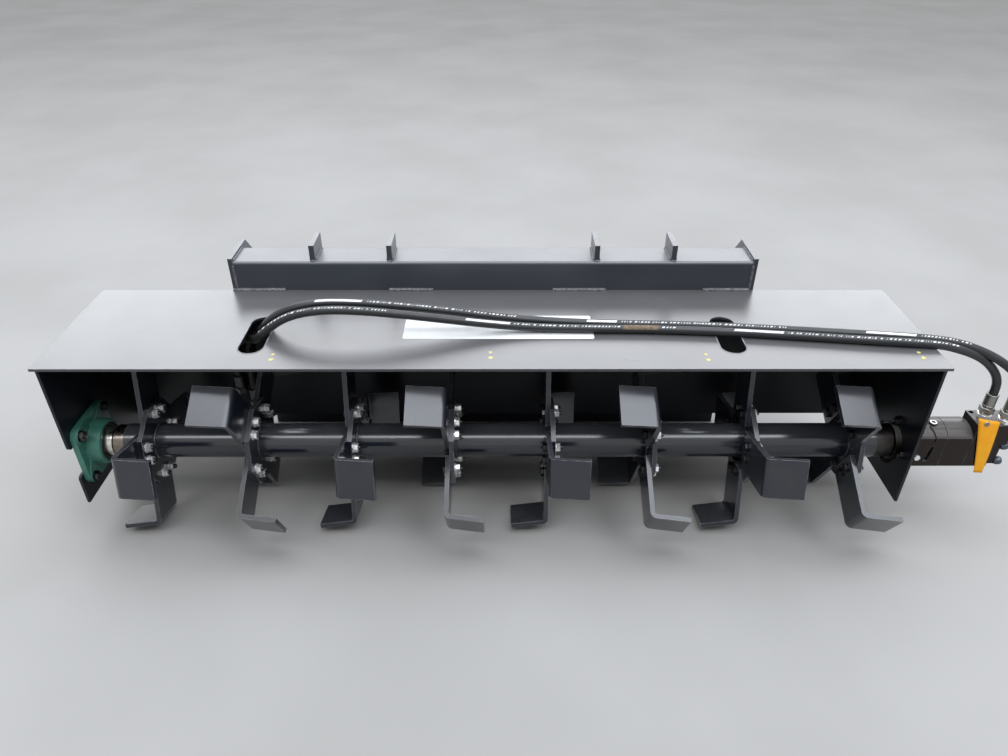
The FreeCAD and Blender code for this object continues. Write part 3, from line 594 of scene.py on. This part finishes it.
def hexagon(bm, across, low, high, place, chamfer=0.08):
    """A hexagonal nut or head whose corners are cut at both ends."""
    corner = across / math.sqrt(3)
    cut = across * chamfer
    drop = cut * CORNER_SLOPE
    lathe(bm, [(0, low), (corner - cut, low), (corner, low + drop), (corner, high - drop),
               (corner - cut, high), (0, high)], place, 6)


def fastener(bm, place, across, height, thread=0.0, washer=0.0):
    """A hexagonal nut or head on a washer, with the end of its thread beyond it."""
    if washer:
        round_plate(bm, across * WASHER_SHARE, 0, washer, place)
    top = washer + height
    hexagon(bm, across, washer, top, place)
    if thread:
        start = top - THREAD_SUNK
        stud(bm, across * THREAD_SHARE, start, start + thread, place)


def sweep(bm, path, radius_at, segments=8):
    """A closed round bar along a path of points. radius_at gives its radius by distance."""
    rings = []
    travelled = 0.0
    side = None
    for index, point in enumerate(path):
        before = path[max(index - 1, 0)]
        after = path[min(index + 1, len(path) - 1)]
        heading = (after - before).normalized()
        if side is None:
            side = heading.orthogonal().normalized()
        side = (side - heading * side.dot(heading)).normalized()
        other = heading.cross(side)
        if index:
            travelled += (point - path[index - 1]).length
        radius = radius_at(travelled)
        ring = []
        for step in range(segments):
            angle = 2 * math.pi * step / segments
            ring.append(bm.verts.new(point + (side * math.cos(angle) + other * math.sin(angle)) * radius))
        rings.append(ring)
    join_all(bm, rings)
    bm.faces.new(rings[0])
    bm.faces.new(reversed(rings[-1]))


def round_bar(bm, path, radius, segments=8):
    sweep(bm, path, lambda travelled: radius, segments)


def thin_patch(bm, outline, bottom, top):
    """A flat patch on the hood with a wall round its outline, both given in millimetres."""
    low = [bm.verts.new(at(x, y, bottom)) for x, y in outline]
    high = [bm.verts.new(at(x, y, top)) for x, y in outline]
    bm.faces.new(reversed(low))
    bm.faces.new(high)
    join_rings(bm, low, high)


def rounded_rectangle(x_low, y_low, x_high, y_high, radius, steps=6):
    points = []
    corners = ((x_high - radius, y_high - radius, 0), (x_low + radius, y_high - radius, 90),
               (x_low + radius, y_low + radius, 180), (x_high - radius, y_low + radius, 270))
    for x, y, start in corners:
        for step in range(steps + 1):
            turn = math.radians(start + 90 * step / steps)
            points.append((x + radius * math.cos(turn), y + radius * math.sin(turn)))
    return points


def between(start, end, share):
    """The pair at a share of the way from one pair of numbers to another."""
    return tuple(first + (last - first) * share for first, last in zip(start, end))


# Hoses: control points in millimetres from the middle of the hood's front edge

HOSE_RADIUS = 9 * MM
HOSE_A = (
    (1076, 80, -115),
    (1076, 80, -95),
    (1068, 80, -73),
    (1053, 79, -53),
    (1032, 78, -34),
    (1004, 77, -17),
    (970, 77, -4),
    (930, 79, 6.5),
    (870, 84, 9.5),
    (780, 94, 9.5),
    (650, 111, 9.5),
    (490, 130, 9.5),
    (340, 140, 9.5),
    (200, 142, 9.5),
    (70, 144, 12),
    (-50, 136.5, 29),
    (-160, 123.5, 51),
    (-260, 118.5, 65),
    (-350, 121.5, 67),
    (-425, 125, 50.5),
    (-474, 123, 18),
    (-508, 146, -22),
    (-547, 207, -51),
    (-592, 268, -95),
    (-622, 308, -142),
    (-633, 316, -186),
    (-633, 316, -222),
)
HOSE_B = (
    (1112, 62, -115),
    (1112, 62, -96),
    (1106, 62, -74),
    (1091, 63, -53),
    (1068, 67, -35),
    (1040, 74, -19),
    (1006, 84, -6),
    (966, 93, 4),
    (918, 99, 9.5),
    (840, 111, 9.5),
    (720, 126, 9.5),
    (570, 143, 9.5),
    (420, 157, 9.5),
    (280, 162, 9.5),
    (150, 169, 10),
    (20, 173, 19),
    (-90, 162, 41),
    (-190, 154, 57),
    (-290, 149, 68),
    (-370, 150, 68),
    (-436, 150, 50),
    (-480, 160, 18),
    (-504, 182, -18),
    (-538, 250, -52),
    (-572, 296, -90),
    (-594, 314, -136),
    (-602, 316, -200),
    (-602, 316, -262),
)
HOSES = {"a": HOSE_A, "b": HOSE_B}
STEPS_ALONG_HOSE = 10        # for each control point
STEPS_ROUND_HOSE = 6


def make_hose(name, points):
    """A hose on one smooth curve, which stands for the CAD tube, and the line of its centre."""
    data = bpy.data.curves.new(name, "CURVE")
    data.dimensions = "3D"
    data.resolution_u = STEPS_ALONG_HOSE
    spline = data.splines.new("NURBS")
    spline.points.add(len(points) - 1)
    for point, place in zip(spline.points, points):
        point.co = (*at(*place), 1)
    spline.order_u = 3
    spline.use_endpoint_u = True
    hose = bpy.data.objects.new(name, data)
    bpy.context.scene.collection.objects.link(hose)
    centre_line = bpy.data.meshes.new_from_object(hose)
    path = [vertex.co.copy() for vertex in centre_line.vertices]
    bpy.data.meshes.remove(centre_line)
    data.bevel_depth = HOSE_RADIUS
    data.bevel_resolution = STEPS_ROUND_HOSE
    data.use_fill_caps = True
    data.materials.append(rubber)
    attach(hose, "housing")
    return hose, path


# Marks along the hoses. Each row: the hose, where the mark starts and ends along X in
# millimetres, half of its width in degrees round the hose, and its paint.

HOSE_MARKS = [
    ("a", -58, 37, 17, ink), ("a", 507, 609, 17, ink),
    ("b", -369, -272, 17, ink), ("b", 201, 266, 17, ink), ("b", 781, 881, 17, ink),
    ("a", 275, 352, 38, scuff),
]

# Rows of short ticks: the hose, and where the row starts and ends along X
TICK_ROWS = (("a", -488, -221), ("a", 44, 268), ("a", 358, 392), ("a", 617, 958),
             ("b", -262, 48), ("b", 275, 623), ("b", 890, 990))
TICK_LENGTHS = (2.5, 3.5, 4.5, 6)
TICK_GAPS = (2.5, 3, 3, 7)
TICK_HALF = 10

MARK_TILT = 26              # degrees from the hose's top towards the front
MARK_COLUMNS = (-2, -1, 0, 1, 2)
MARK_SLANT = 0.7 * MM       # how far each column starts beyond the one before it
MARK_TOP = HOSE_RADIUS + 0.2 * MM
MARK_BOTTOM = HOSE_RADIUS - 0.6 * MM


def add_ticks():
    """Lay the ticks of each row one after the other, with uneven lengths and gaps."""
    for letter, low, high in TICK_ROWS:
        place = low
        while place < high:
            length = random.choice(TICK_LENGTHS)
            HOSE_MARKS.append((letter, place, place + length, TICK_HALF, ink))
            place += length + random.choice(TICK_GAPS)


def hose_mark(bm, path, low, high, half):
    """A thin strip on the hose's upper side, leaning towards the front, with slanted ends."""
    rings = []
    for before, after in zip(path, path[1:]):
        if not low * MM <= before.x <= high * MM:
            continue
        heading = (after - before).normalized()
        up = (Vector((0, 0, 1)) - heading * heading.z).normalized()
        front = heading.cross(up)
        if front.y > 0:
            front = -front
        ring = []
        for reach, columns in ((MARK_TOP, MARK_COLUMNS), (MARK_BOTTOM, reversed(MARK_COLUMNS))):
            for column in columns:
                turn = math.radians(MARK_TILT + half * column / 2)
                outwards = up * math.cos(turn) + front * math.sin(turn)
                ring.append(bm.verts.new(before + heading * column * MARK_SLANT + outwards * reach))
        rings.append(ring)
    join_all(bm, rings)
    last = 2 * len(MARK_COLUMNS) - 1
    for ring in (rings[0], rings[-1]):
        for index in range(len(MARK_COLUMNS) - 1):
            bm.faces.new((ring[index], ring[last - index], ring[last - 1 - index], ring[index + 1]))


def finer(path, step=MM):
    """The same line with a point at every step."""
    points = []
    for before, after in zip(path, path[1:]):
        count = max(1, int((after - before).length / step))
        for index in range(count):
            points.append(before.lerp(after, index / count))
    return points + [path[-1]]


def make_hose_marks():
    add_ticks()
    for letter in HOSES:
        fine = finer(paths[letter])
        for kind, mark_paint in (("stripes", ink), ("scuff", scuff)):
            marks = [mark for mark in HOSE_MARKS if mark[0] == letter and mark[4] is mark_paint]
            if not marks:
                continue
            bm = bmesh.new()
            for _, low, high, half, _ in marks:
                hose_mark(bm, fine, low, high, half)
            name = "hose_%s_%s" % (letter, kind)
            with_hose[letter].append(new_piece(name, bm, mark_paint, "housing"))


# Crimped hose fittings, and the adapters in the motor's ports. The two lengths and the sleeve's
# profile are in millimetres, and the turns are in radians.

SWIVEL_ACROSS = 27 * MM
SWIVEL_TALL = 15 * MM
SWIVEL_CHAMFER = 0.06
FITTING_LENGTH = 49
ADAPTER_LENGTH = 14
ADAPTER_HEX = 11 * MM
ADAPTER_NECK = 10.5 * MM
FITTING_TURN = 0.3
END_FITTING_TURN = 0.5
ADAPTER_TURN = 0.1
SLEEVE = (
    (0, 14), (10, 14), (10, 17.5), (12.6, 18.2), (12.9, 19), (12.9, 20.4), (12.3, 21), (12.3, 33),
    (12.1, 33.5), (12.1, 34.3), (12.3, 34.8), (12.3, 46.2), (12.9, 46.8), (12.9, 48.3),
    (12.2, FITTING_LENGTH), (9.2, FITTING_LENGTH), (9.2, 44), (0, 44),
)


def crimped_fitting(name, x, y, low, material, turn):
    """A swivel nut with a crimped sleeve above it, both turned about one axis."""
    bm = bmesh.new()
    place = upright(at(x, y, low), turn)
    hexagon(bm, SWIVEL_ACROSS, 0, SWIVEL_TALL, place, SWIVEL_CHAMFER)
    lathe(bm, in_mm(SLEEVE), place, 28)
    return new_piece(name, bm, material, "housing")


def port_adapter(name, x, y, low):
    """A hexagon on the port with a round neck up to the swivel nut."""
    bm = bmesh.new()
    place = upright(at(x, y, low), ADAPTER_TURN)
    hexagon(bm, SWIVEL_ACROSS, 0, ADAPTER_HEX, place, SWIVEL_CHAMFER)
    round_plate(bm, ADAPTER_NECK, ADAPTER_HEX - MM, ADAPTER_LENGTH * MM, place, 24)
    return new_piece(name, bm, zinc, "housing")


def make_fittings():
    """A fitting below each end of a hose, and an adapter in the port below the first one."""
    for letter, points in HOSES.items():
        x, y, hose_end = points[0]
        low = hose_end - FITTING_LENGTH
        fitting = crimped_fitting("crimped_fitting_" + letter, x, y, low, ferrule_zinc, FITTING_TURN)
        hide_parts("hose_fitting_" + letter)
        with_hose[letter].append(fitting)
        adapter = port_adapter("port_adapter_" + letter, x, y, low - ADAPTER_LENGTH)
        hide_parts("port_fitting_" + letter)
    for letter, points in HOSES.items():
        x, y, hose_end = points[-1]
        low = hose_end - FITTING_LENGTH
        fitting = crimped_fitting("end_fitting_" + letter, x, y, low, dark_zinc, END_FITTING_TURN)
        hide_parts("hose_end_" + letter)
        with_hose[letter].append(fitting)


# Bolts and nuts that hold the tines to their discs

ODD_TINE = 14          # degrees from the front to the first tine, on discs with odd numbers
EVEN_TINE = 59
TINES_ON_DISC = 4
TINE_THICK = 10 * MM
BOLT_CIRCLE = 73 * MM
BOLT_SPREAD = 12       # degrees from the middle of a tine to each of its two bolts
TINE_NUT_ACROSS = 17.5 * MM
TINE_NUT_HEIGHT = 9 * MM
TINE_WASHER = 1.8 * MM
TINE_HEAD_HEIGHT = 7 * MM
TINE_THREAD_RADIUS = 5.2 * MM
TINE_THREAD_LENGTH = 7.2 * MM


def disc_centre(number):
    low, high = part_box("disc_%d" % number)
    return (low.x + high.x) / 2


def make_tine_bolts():
    nuts = bmesh.new()
    heads = bmesh.new()
    for number in DISCS:
        centre = disc_centre(number)
        first = ODD_TINE if number % 2 else EVEN_TINE
        for tine in range(TINES_ON_DISC):
            for side in BOTH_SIDES:
                angle = first + 360 / TINES_ON_DISC * tine + BOLT_SPREAD * side
                right = round_axis(centre + DISC_HALF, BOLT_CIRCLE, angle)
                left = round_axis(centre - DISC_HALF - TINE_THICK, BOLT_CIRCLE, angle)
                beyond = round_axis(centre + DISC_HALF + TINE_NUT_HEIGHT, BOLT_CIRCLE, angle)
                nut_place = along_x(*right, 1, any_turn())
                fastener(nuts, nut_place, TINE_NUT_ACROSS, TINE_NUT_HEIGHT, washer=TINE_WASHER)
                fastener(heads, along_x(*left, -1, any_turn()), TINE_NUT_ACROSS, TINE_HEAD_HEIGHT)
                stud(heads, TINE_THREAD_RADIUS, 0, TINE_THREAD_LENGTH, along_x(*beyond))
    new_piece("tine_nuts", nuts, zinc, "rotor")
    new_piece("tine_bolts", heads, black_bolt, "rotor")


# Weld beads. Places on the frame are in millimetres, as for at().

BEAD_STEP = 1.6 * MM
BEAD_WANDER = 0.15 * MM
BEAD_TAPER = 4 * MM
BEAD_END = 0.45              # the share of its radius that a bead starts and ends with
BEAD_RIPPLE = 0.14
RING_RIPPLE = 0.15
RING_STEPS = 132
RING_SIDES = 6


def weld_bead(bm, start, finish, radius, ripple=5.0 * MM):
    """A straight weld bead with its ripples."""
    length = (finish - start).length
    count = max(8, int(length / BEAD_STEP))
    path = []
    for index in range(count + 1):
        wander = Vector((0, 0, random.uniform(-BEAD_WANDER, BEAD_WANDER)))
        path.append(start.lerp(finish, index / count) + wander)

    def radius_at(travelled):
        ends = min(1.0, BEAD_END + min(travelled, length - travelled) / BEAD_TAPER)
        return radius * ends * (1 + BEAD_RIPPLE * math.sin(2 * math.pi * travelled / ripple))

    sweep(bm, path, radius_at)


def ring_weld(bm, x, radius, bead=3.2 * MM, ripple=5.5 * MM):
    """A weld bead all round the rotor's axis."""
    rings = []
    for index in range(RING_STEPS):
        angle = 360 * index / RING_STEPS
        travelled = radius * math.radians(angle)
        size = bead * (1 + RING_RIPPLE * math.sin(2 * math.pi * travelled / ripple))
        ring = []
        for step in range(RING_SIDES):
            turn = 2 * math.pi * step / RING_SIDES
            place = round_axis(x + size * math.sin(turn), radius + size * math.cos(turn), angle)
            ring.append(bm.verts.new(place))
        rings.append(ring)
    join_all(bm, rings + [rings[0]])


DISC_BEAD_OUT = 0.6 * MM
TUBE_BEAD_OUT = 0.4 * MM
TUBE_END_IN = 1.5 * MM
TUBE_END_DROP = 2.5 * MM
TUBE_END_BEAD = 2.6 * MM


def make_rotor_welds():
    """Beads on both faces of each disc, and one round the tube's left end."""
    bm = bmesh.new()
    for number in DISCS:
        for side in BOTH_SIDES:
            face = disc_centre(number) + (DISC_HALF + DISC_BEAD_OUT) * side
            ring_weld(bm, face, TUBE_RADIUS + TUBE_BEAD_OUT)
    ring_weld(bm, tube_low.x + TUBE_END_IN, TUBE_RADIUS - TUBE_END_DROP, TUBE_END_BEAD)
    new_piece("rotor_welds", bm, rotor_paint, "rotor", True)


FOOT_BEAD = 5 * MM
FOOT_RIPPLE = 6 * MM
TOP_BEAD = 3.4 * MM
THIN_BEAD = 3.2 * MM
INNER_BEAD = 3.0 * MM
STITCH = 60

# Between the beam's front foot and the hood, from and to along X
FOOT_WELDS = ((-609, -485), (-245, -139), (138, 265), (490, 600))
FOOT_Y = 338.8
FOOT_Z = 1

# Round the tabs on top of the beam, along Y and across their front
BEAM_TOP = 71
TAB_PLACES = (-415, -238, 238, 415)
TAB_HALF = 6
TAB_FRONT = 346
TAB_WELD = (352, 422)

# Upright stitches where the ribs under the tabs meet the panel and the mounting plate
RIB_WELDS = (-350, -230, -110)
RIB_EDGES = (340.5, 425.5)

# Inside the beam's end plates, along Y on top and along Z in front
END_PLATE_X = 599
END_TOP_WELD = (349, 424)
END_FRONT_WELD = (4, 62)
END_FRONT_Y = 340

# Where the side plates meet the hood from inside, along Y
SIDE_PLATE_X = 899
SIDE_WELD = (20, 330)
SIDE_WELD_Z = -6

# Stitches along the hook lip
LIP_WELDS = range(-560, 560, 140)
LIP_WELD_Y = 434
LIP_WELD_Z = 54


def make_frame_welds():
    """Beads along the beam's foot, the tabs, the ribs, the end plates, the side plates and the lip."""
    bm = bmesh.new()
    for low, high in FOOT_WELDS:
        weld_bead(bm, at(low, FOOT_Y, FOOT_Z), at(high, FOOT_Y, FOOT_Z), FOOT_BEAD, FOOT_RIPPLE)
    for middle in TAB_PLACES:
        faces = (middle - TAB_HALF, middle + TAB_HALF)
        for x in faces:
            weld_bead(bm, at(x, TAB_WELD[0], BEAM_TOP), at(x, TAB_WELD[1], BEAM_TOP), TOP_BEAD)
        weld_bead(bm, at(faces[0], TAB_FRONT, BEAM_TOP), at(faces[1], TAB_FRONT, BEAM_TOP), THIN_BEAD)
        for x in faces:
            for low in RIB_WELDS:
                for y in RIB_EDGES:
                    weld_bead(bm, at(x, y, low), at(x, y, low + STITCH), THIN_BEAD)
    for side in BOTH_SIDES:
        x = END_PLATE_X * side
        weld_bead(bm, at(x, END_TOP_WELD[0], BEAM_TOP), at(x, END_TOP_WELD[1], BEAM_TOP), TOP_BEAD)
        low, high = END_FRONT_WELD
        weld_bead(bm, at(x, END_FRONT_Y, low), at(x, END_FRONT_Y, high), THIN_BEAD)
        x = SIDE_PLATE_X * side
        weld_bead(bm, at(x, SIDE_WELD[0], SIDE_WELD_Z), at(x, SIDE_WELD[1], SIDE_WELD_Z), INNER_BEAD)
    for low in LIP_WELDS:
        weld_bead(bm, at(low, LIP_WELD_Y, LIP_WELD_Z), at(low + STITCH, LIP_WELD_Y, LIP_WELD_Z), THIN_BEAD)
    new_piece("frame_welds", bm, weld, "housing", True)


# Pale bars round the hood's two slots: a painted highlight on their cut edges. Sizes are in millimetres.

SLOT_X = 498
SLOT_FRONT = 57
SLOT_LENGTH = 154
SLOT_WIDTH = 54
EDGE_LEVEL = -0.3
EDGE_RADIUS = 1.3 * MM


def slot_outline(middle, steps=24):
    """Round the slot's far end, back along its left side and round its near end."""
    radius = SLOT_WIDTH / 2
    points = []
    for y, start in ((SLOT_FRONT + SLOT_LENGTH - radius, 0), (SLOT_FRONT + radius, 180)):
        for step in range(steps + 1):
            turn = math.radians(start + 180 * step / steps)
            points.append(at(middle + radius * math.cos(turn), y + radius * math.sin(turn), EDGE_LEVEL))
    return points


def make_slot_edges():
    for name, side in (("left", -1), ("right", 1)):
        bm = bmesh.new()
        outline = slot_outline(SLOT_X * side)
        round_bar(bm, [outline[-1]] + outline, EDGE_RADIUS, 6)
        new_piece("slot_edge_" + name, bm, edge_highlight, "housing", True)


# Blank film and dabs of marker paint on the hood. Sizes are in millimetres.

FILM_PLACE = (-190, 116, 214, 215)
FILM_CORNER = 5
FILM_LEVEL = 0.35
PATCH_SUNK = -0.1
DAB_PLACES = ((-445, 46), (-3, 53), (435, 45), (872, 52))
DAB_LEVEL = 0.3
DAB_POINTS = 18
DAB_RAGGED = (0.6, 1.25)
DAB_DOTS = ((-1, 9, 3.9), (0, -11, 4.8))     # each dot's shift in X and Y, and its radius


def make_film():
    bm = bmesh.new()
    thin_patch(bm, rounded_rectangle(*FILM_PLACE, FILM_CORNER), PATCH_SUNK, FILM_LEVEL)
    new_piece("blank_film", bm, film, "housing")


def make_marker_dabs():
    bm = bmesh.new()
    for x, y in DAB_PLACES:
        for shift_x, shift_y, size in DAB_DOTS:
            outline = []
            for step in range(DAB_POINTS):
                turn = 2 * math.pi * step / DAB_POINTS
                reach = size * random.uniform(*DAB_RAGGED)
                outline.append((x + shift_x + reach * math.cos(turn), y + shift_y + reach * math.sin(turn)))
            thin_patch(bm, outline, PATCH_SUNK, DAB_LEVEL)
    new_piece("marker_dabs", bm, yellow, "housing")


# Bearing: its seal, and the bolts through it and the side plate

SEAL_DEEP = 6 * MM
SEAL_GAP = 0.3 * MM
SEAL_LIP = 5 * MM
SEAL_RADIUS = 42.8 * MM
SEAL_RIM_TALL = 2.2 * MM
SEAL_LIP_TALL = 3 * MM
SEAL_TALL = 4.2 * MM
SIDE_PLATE_THICK = 6 * MM
BEARING_ARM = 15 * MM
BEARING_BOLTS = (-55.5 * MM, 55.5 * MM)
BEARING_BOLT_ACROSS = 19 * MM
BEARING_NUT_HEIGHT = 9 * MM
BEARING_HEAD_HEIGHT = 8.5 * MM
BEARING_THREAD = 3 * MM
BEARING_WASHER = 1.5 * MM


def make_bearing_seal():
    """A rubber lip round the bearing's ring, sunk in the housing's boss."""
    ring_low, ring_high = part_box("bearing_ring")
    boss_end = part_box("bearing_housing")[1].x
    ring_radius = (ring_high.z - ring_low.z) / 2
    inner = ring_radius + SEAL_GAP
    bm = bmesh.new()
    profile = [(inner, 0), (SEAL_RADIUS, 0), (SEAL_RADIUS, SEAL_RIM_TALL),
               (ring_radius + SEAL_LIP, SEAL_LIP_TALL), (inner, SEAL_TALL), (inner, 0)]
    lathe(bm, profile, along_x(boss_end - SEAL_DEEP, AXIS_Y, AXIS_Z), 48)
    new_piece("bearing_seal", bm, rubber_seal, "housing", True)


def make_bearing_bolts():
    """Nuts on the housing's arms, and the bolts' heads outside the side plate."""
    plate_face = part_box("bearing_housing")[0].x
    nuts = bmesh.new()
    heads = bmesh.new()
    for y in BEARING_BOLTS:
        for z in BEARING_BOLTS:
            inside = along_x(plate_face + BEARING_ARM, AXIS_Y + y, AXIS_Z + z, 1, any_turn())
            fastener(nuts, inside, BEARING_BOLT_ACROSS, BEARING_NUT_HEIGHT, BEARING_THREAD, BEARING_WASHER)
            outside = along_x(plate_face - SIDE_PLATE_THICK, AXIS_Y + y, AXIS_Z + z, -1, any_turn())
            fastener(heads, outside, BEARING_BOLT_ACROSS, BEARING_HEAD_HEIGHT)
    new_piece("bearing_bolts", nuts, black_bolt, "housing")
    new_piece("bearing_bolt_heads", heads, dull_zinc, "housing")


# Motor: its plug with a wire, a bright bolt in front, the end cap's bolts and the mounting bolts.
# Places are in millimetres, and so are profiles, as pairs of radius and height.

PLUG_PLACE = (971, 79, -192)
# A black disc in the plug's middle: painted shade for its hole
PLUG_HOLE_SHADE = ((0, -1), (4.7, -1), (4.7, 0.9), (0, 0.9))
PLUG_RING = ((4.7, -1), (7.6, -1), (7.6, 0.6), (7, 1.3), (4.7, 1.3), (4.7, -1))
PLUG_SEAL = ((7.6, -1), (9.3, -1), (9.3, 0.4), (7.6, 0.4), (7.6, -1))
PLUG_WIRE = ((961, 70, -196.2), (962.5, 66, -197.7), (964, 62, -199.6), (966, 57, -202.8),
             (967.5, 52, -206.7), (969, 48, -210.6), (970, 45.8, -214.5), (970, 45.6, -221))
PLUG_WIRE_RADIUS = 1.5 * MM
FRONT_BOLT_PLACE = (940, 47, -264)
FRONT_BOLT_ACROSS = 12 * MM
FRONT_BOLT_HEIGHT = 6 * MM
CAP_FACE_X = 1121
CAP_BOLTS_Y = (55, 119)
CAP_BOLTS_Z = (-280, -238)
CAP_BOLT = ((0, 0), (8, 0), (8, 4), (9.5, 4.5), (9.5, 12), (8.6, 14.6), (6.4, 16.2), (0, 16.6))
MOUNT_CIRCLE = 54 * MM
MOUNT_ANGLES = (0, 90, 180, 270)
MOUNT_ACROSS = 17 * MM
MOUNT_HEIGHT = 8 * MM
MOUNT_THREAD = 5 * MM
MOUNT_WASHER = 1.8 * MM


def make_motor_plug():
    """A bright ring with dark rubber round it, and a black disc inside it: painted shade for the plug's
    hole.
    """
    place = upright(at(*PLUG_PLACE))
    dark = bmesh.new()
    lathe(dark, in_mm(PLUG_SEAL), place, 28)
    lathe(dark, in_mm(PLUG_HOLE_SHADE), place)
    new_piece("plug_ring", dark, rubber_seal, "housing", True)
    bright = bmesh.new()
    lathe(bright, in_mm(PLUG_RING), place, 28)
    fastener(bright, towards_front(at(*FRONT_BOLT_PLACE)), FRONT_BOLT_ACROSS, FRONT_BOLT_HEIGHT)
    new_piece("motor_bolts_bright", bright, zinc, "housing")


def make_cap_bolts():
    bm = bmesh.new()
    for y in CAP_BOLTS_Y:
        for z in CAP_BOLTS_Z:
            lathe(bm, in_mm(CAP_BOLT), along_x(*at(CAP_FACE_X, y, z)), 24)
    new_piece("motor_cap_bolts", bm, cap_steel, "housing", True)


def make_mount_bolts():
    """The nuts of the motor's flange bolts, inside the right side plate."""
    plate_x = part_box("side_plate_right")[0].x
    bm = bmesh.new()
    for angle in MOUNT_ANGLES:
        place = along_x(*round_axis(plate_x, MOUNT_CIRCLE, angle), -1, any_turn())
        fastener(bm, place, MOUNT_ACROSS, MOUNT_HEIGHT, MOUNT_THREAD, MOUNT_WASHER)
    new_piece("motor_mount_bolts", bm, black_bolt, "housing")


def make_plug_wire():
    """A lead from the plug over the motor's rounded top and down its front."""
    bm = bmesh.new()
    round_bar(bm, [at(*point) for point in PLUG_WIRE], PLUG_WIRE_RADIUS)
    new_piece("plug_wire", bm, rubber_seal, "housing", True)


# Tag: a curled card with an eyelet and a wire, in place of the flat CAD card.
# Its corners are pairs of X and Z. Places, corners and profiles are in millimetres.

TAG_LEFT_TOP = (1042, -157)
TAG_RIGHT_TOP = (1092, -167)
TAG_RIGHT_LOW = (1101, -309)
TAG_LEFT_LOW = (1082, -308)
TAG_Y = 45.4
TAG_ROWS = 16
TAG_COLUMNS = 6
TAG_CURL = 5
TAG_BOW = 2.5
TAG_THICK = 0.5 * MM
EYELET_PLACE = (1064, TAG_Y, -172)
EYELET = ((3, -1.6), (6, -1.6), (6, 1.6), (3, 1.6), (3, -1.6))
TAG_WIRE = ((1064, 44, -175), (1065, 43, -169), (1067, 49, -158), (1057, 60, -156),
            (1063, 71, -156), (1068, 78, -157))
TAG_WIRE_RADIUS = 0.9 * MM


def make_tag():
    """A card that narrows downwards, curled up across its top and bowed along its length."""
    bm = bmesh.new()
    rows = []
    for row in range(TAG_ROWS + 1):
        down = row / TAG_ROWS
        points = []
        for column in range(TAG_COLUMNS + 1):
            across = column / TAG_COLUMNS
            high = between(TAG_LEFT_TOP, TAG_RIGHT_TOP, across)
            low = between(TAG_LEFT_LOW, TAG_RIGHT_LOW, across)
            x, z = between(high, low, down)
            curl = TAG_CURL * (across - 0.5) ** 2 * (1 - down) - TAG_BOW * math.sin(math.pi * down)
            points.append(bm.verts.new(at(x, TAG_Y + curl, z)))
        rows.append(points)
    for first, second in zip(rows, rows[1:]):
        for column in range(TAG_COLUMNS):
            bm.faces.new((first[column], second[column], second[column + 1], first[column + 1]))
    tag = new_piece("tag_card", bm, card, "housing", True)
    tag.modifiers.new("thickness", "SOLIDIFY").thickness = TAG_THICK
    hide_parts("hang_tag")


def make_tag_eyelet():
    bm = bmesh.new()
    lathe(bm, in_mm(EYELET), towards_front(at(*EYELET_PLACE)), 24)
    round_bar(bm, [at(*point) for point in TAG_WIRE], TAG_WIRE_RADIUS)
    new_piece("tag_eyelet", bm, dull_zinc, "housing", True)


# Everything is made in this order, which is also the order of the random draws

make_camera()
make_stage()
dress_cad_nodes()

hoses = {}
paths = {}
with_hose = {"a": [], "b": []}
for letter, points in HOSES.items():
    hoses[letter], paths[letter] = make_hose("hydraulic_hose_" + letter, points)
    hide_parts("hose_" + letter)

make_tine_bolts()
make_rotor_welds()
make_frame_welds()
make_slot_edges()
make_film()
make_marker_dabs()
make_hose_marks()
make_fittings()
make_bearing_seal()
make_bearing_bolts()
make_motor_plug()
make_cap_bolts()
make_mount_bolts()
make_plug_wire()
make_tag()
make_tag_eyelet()
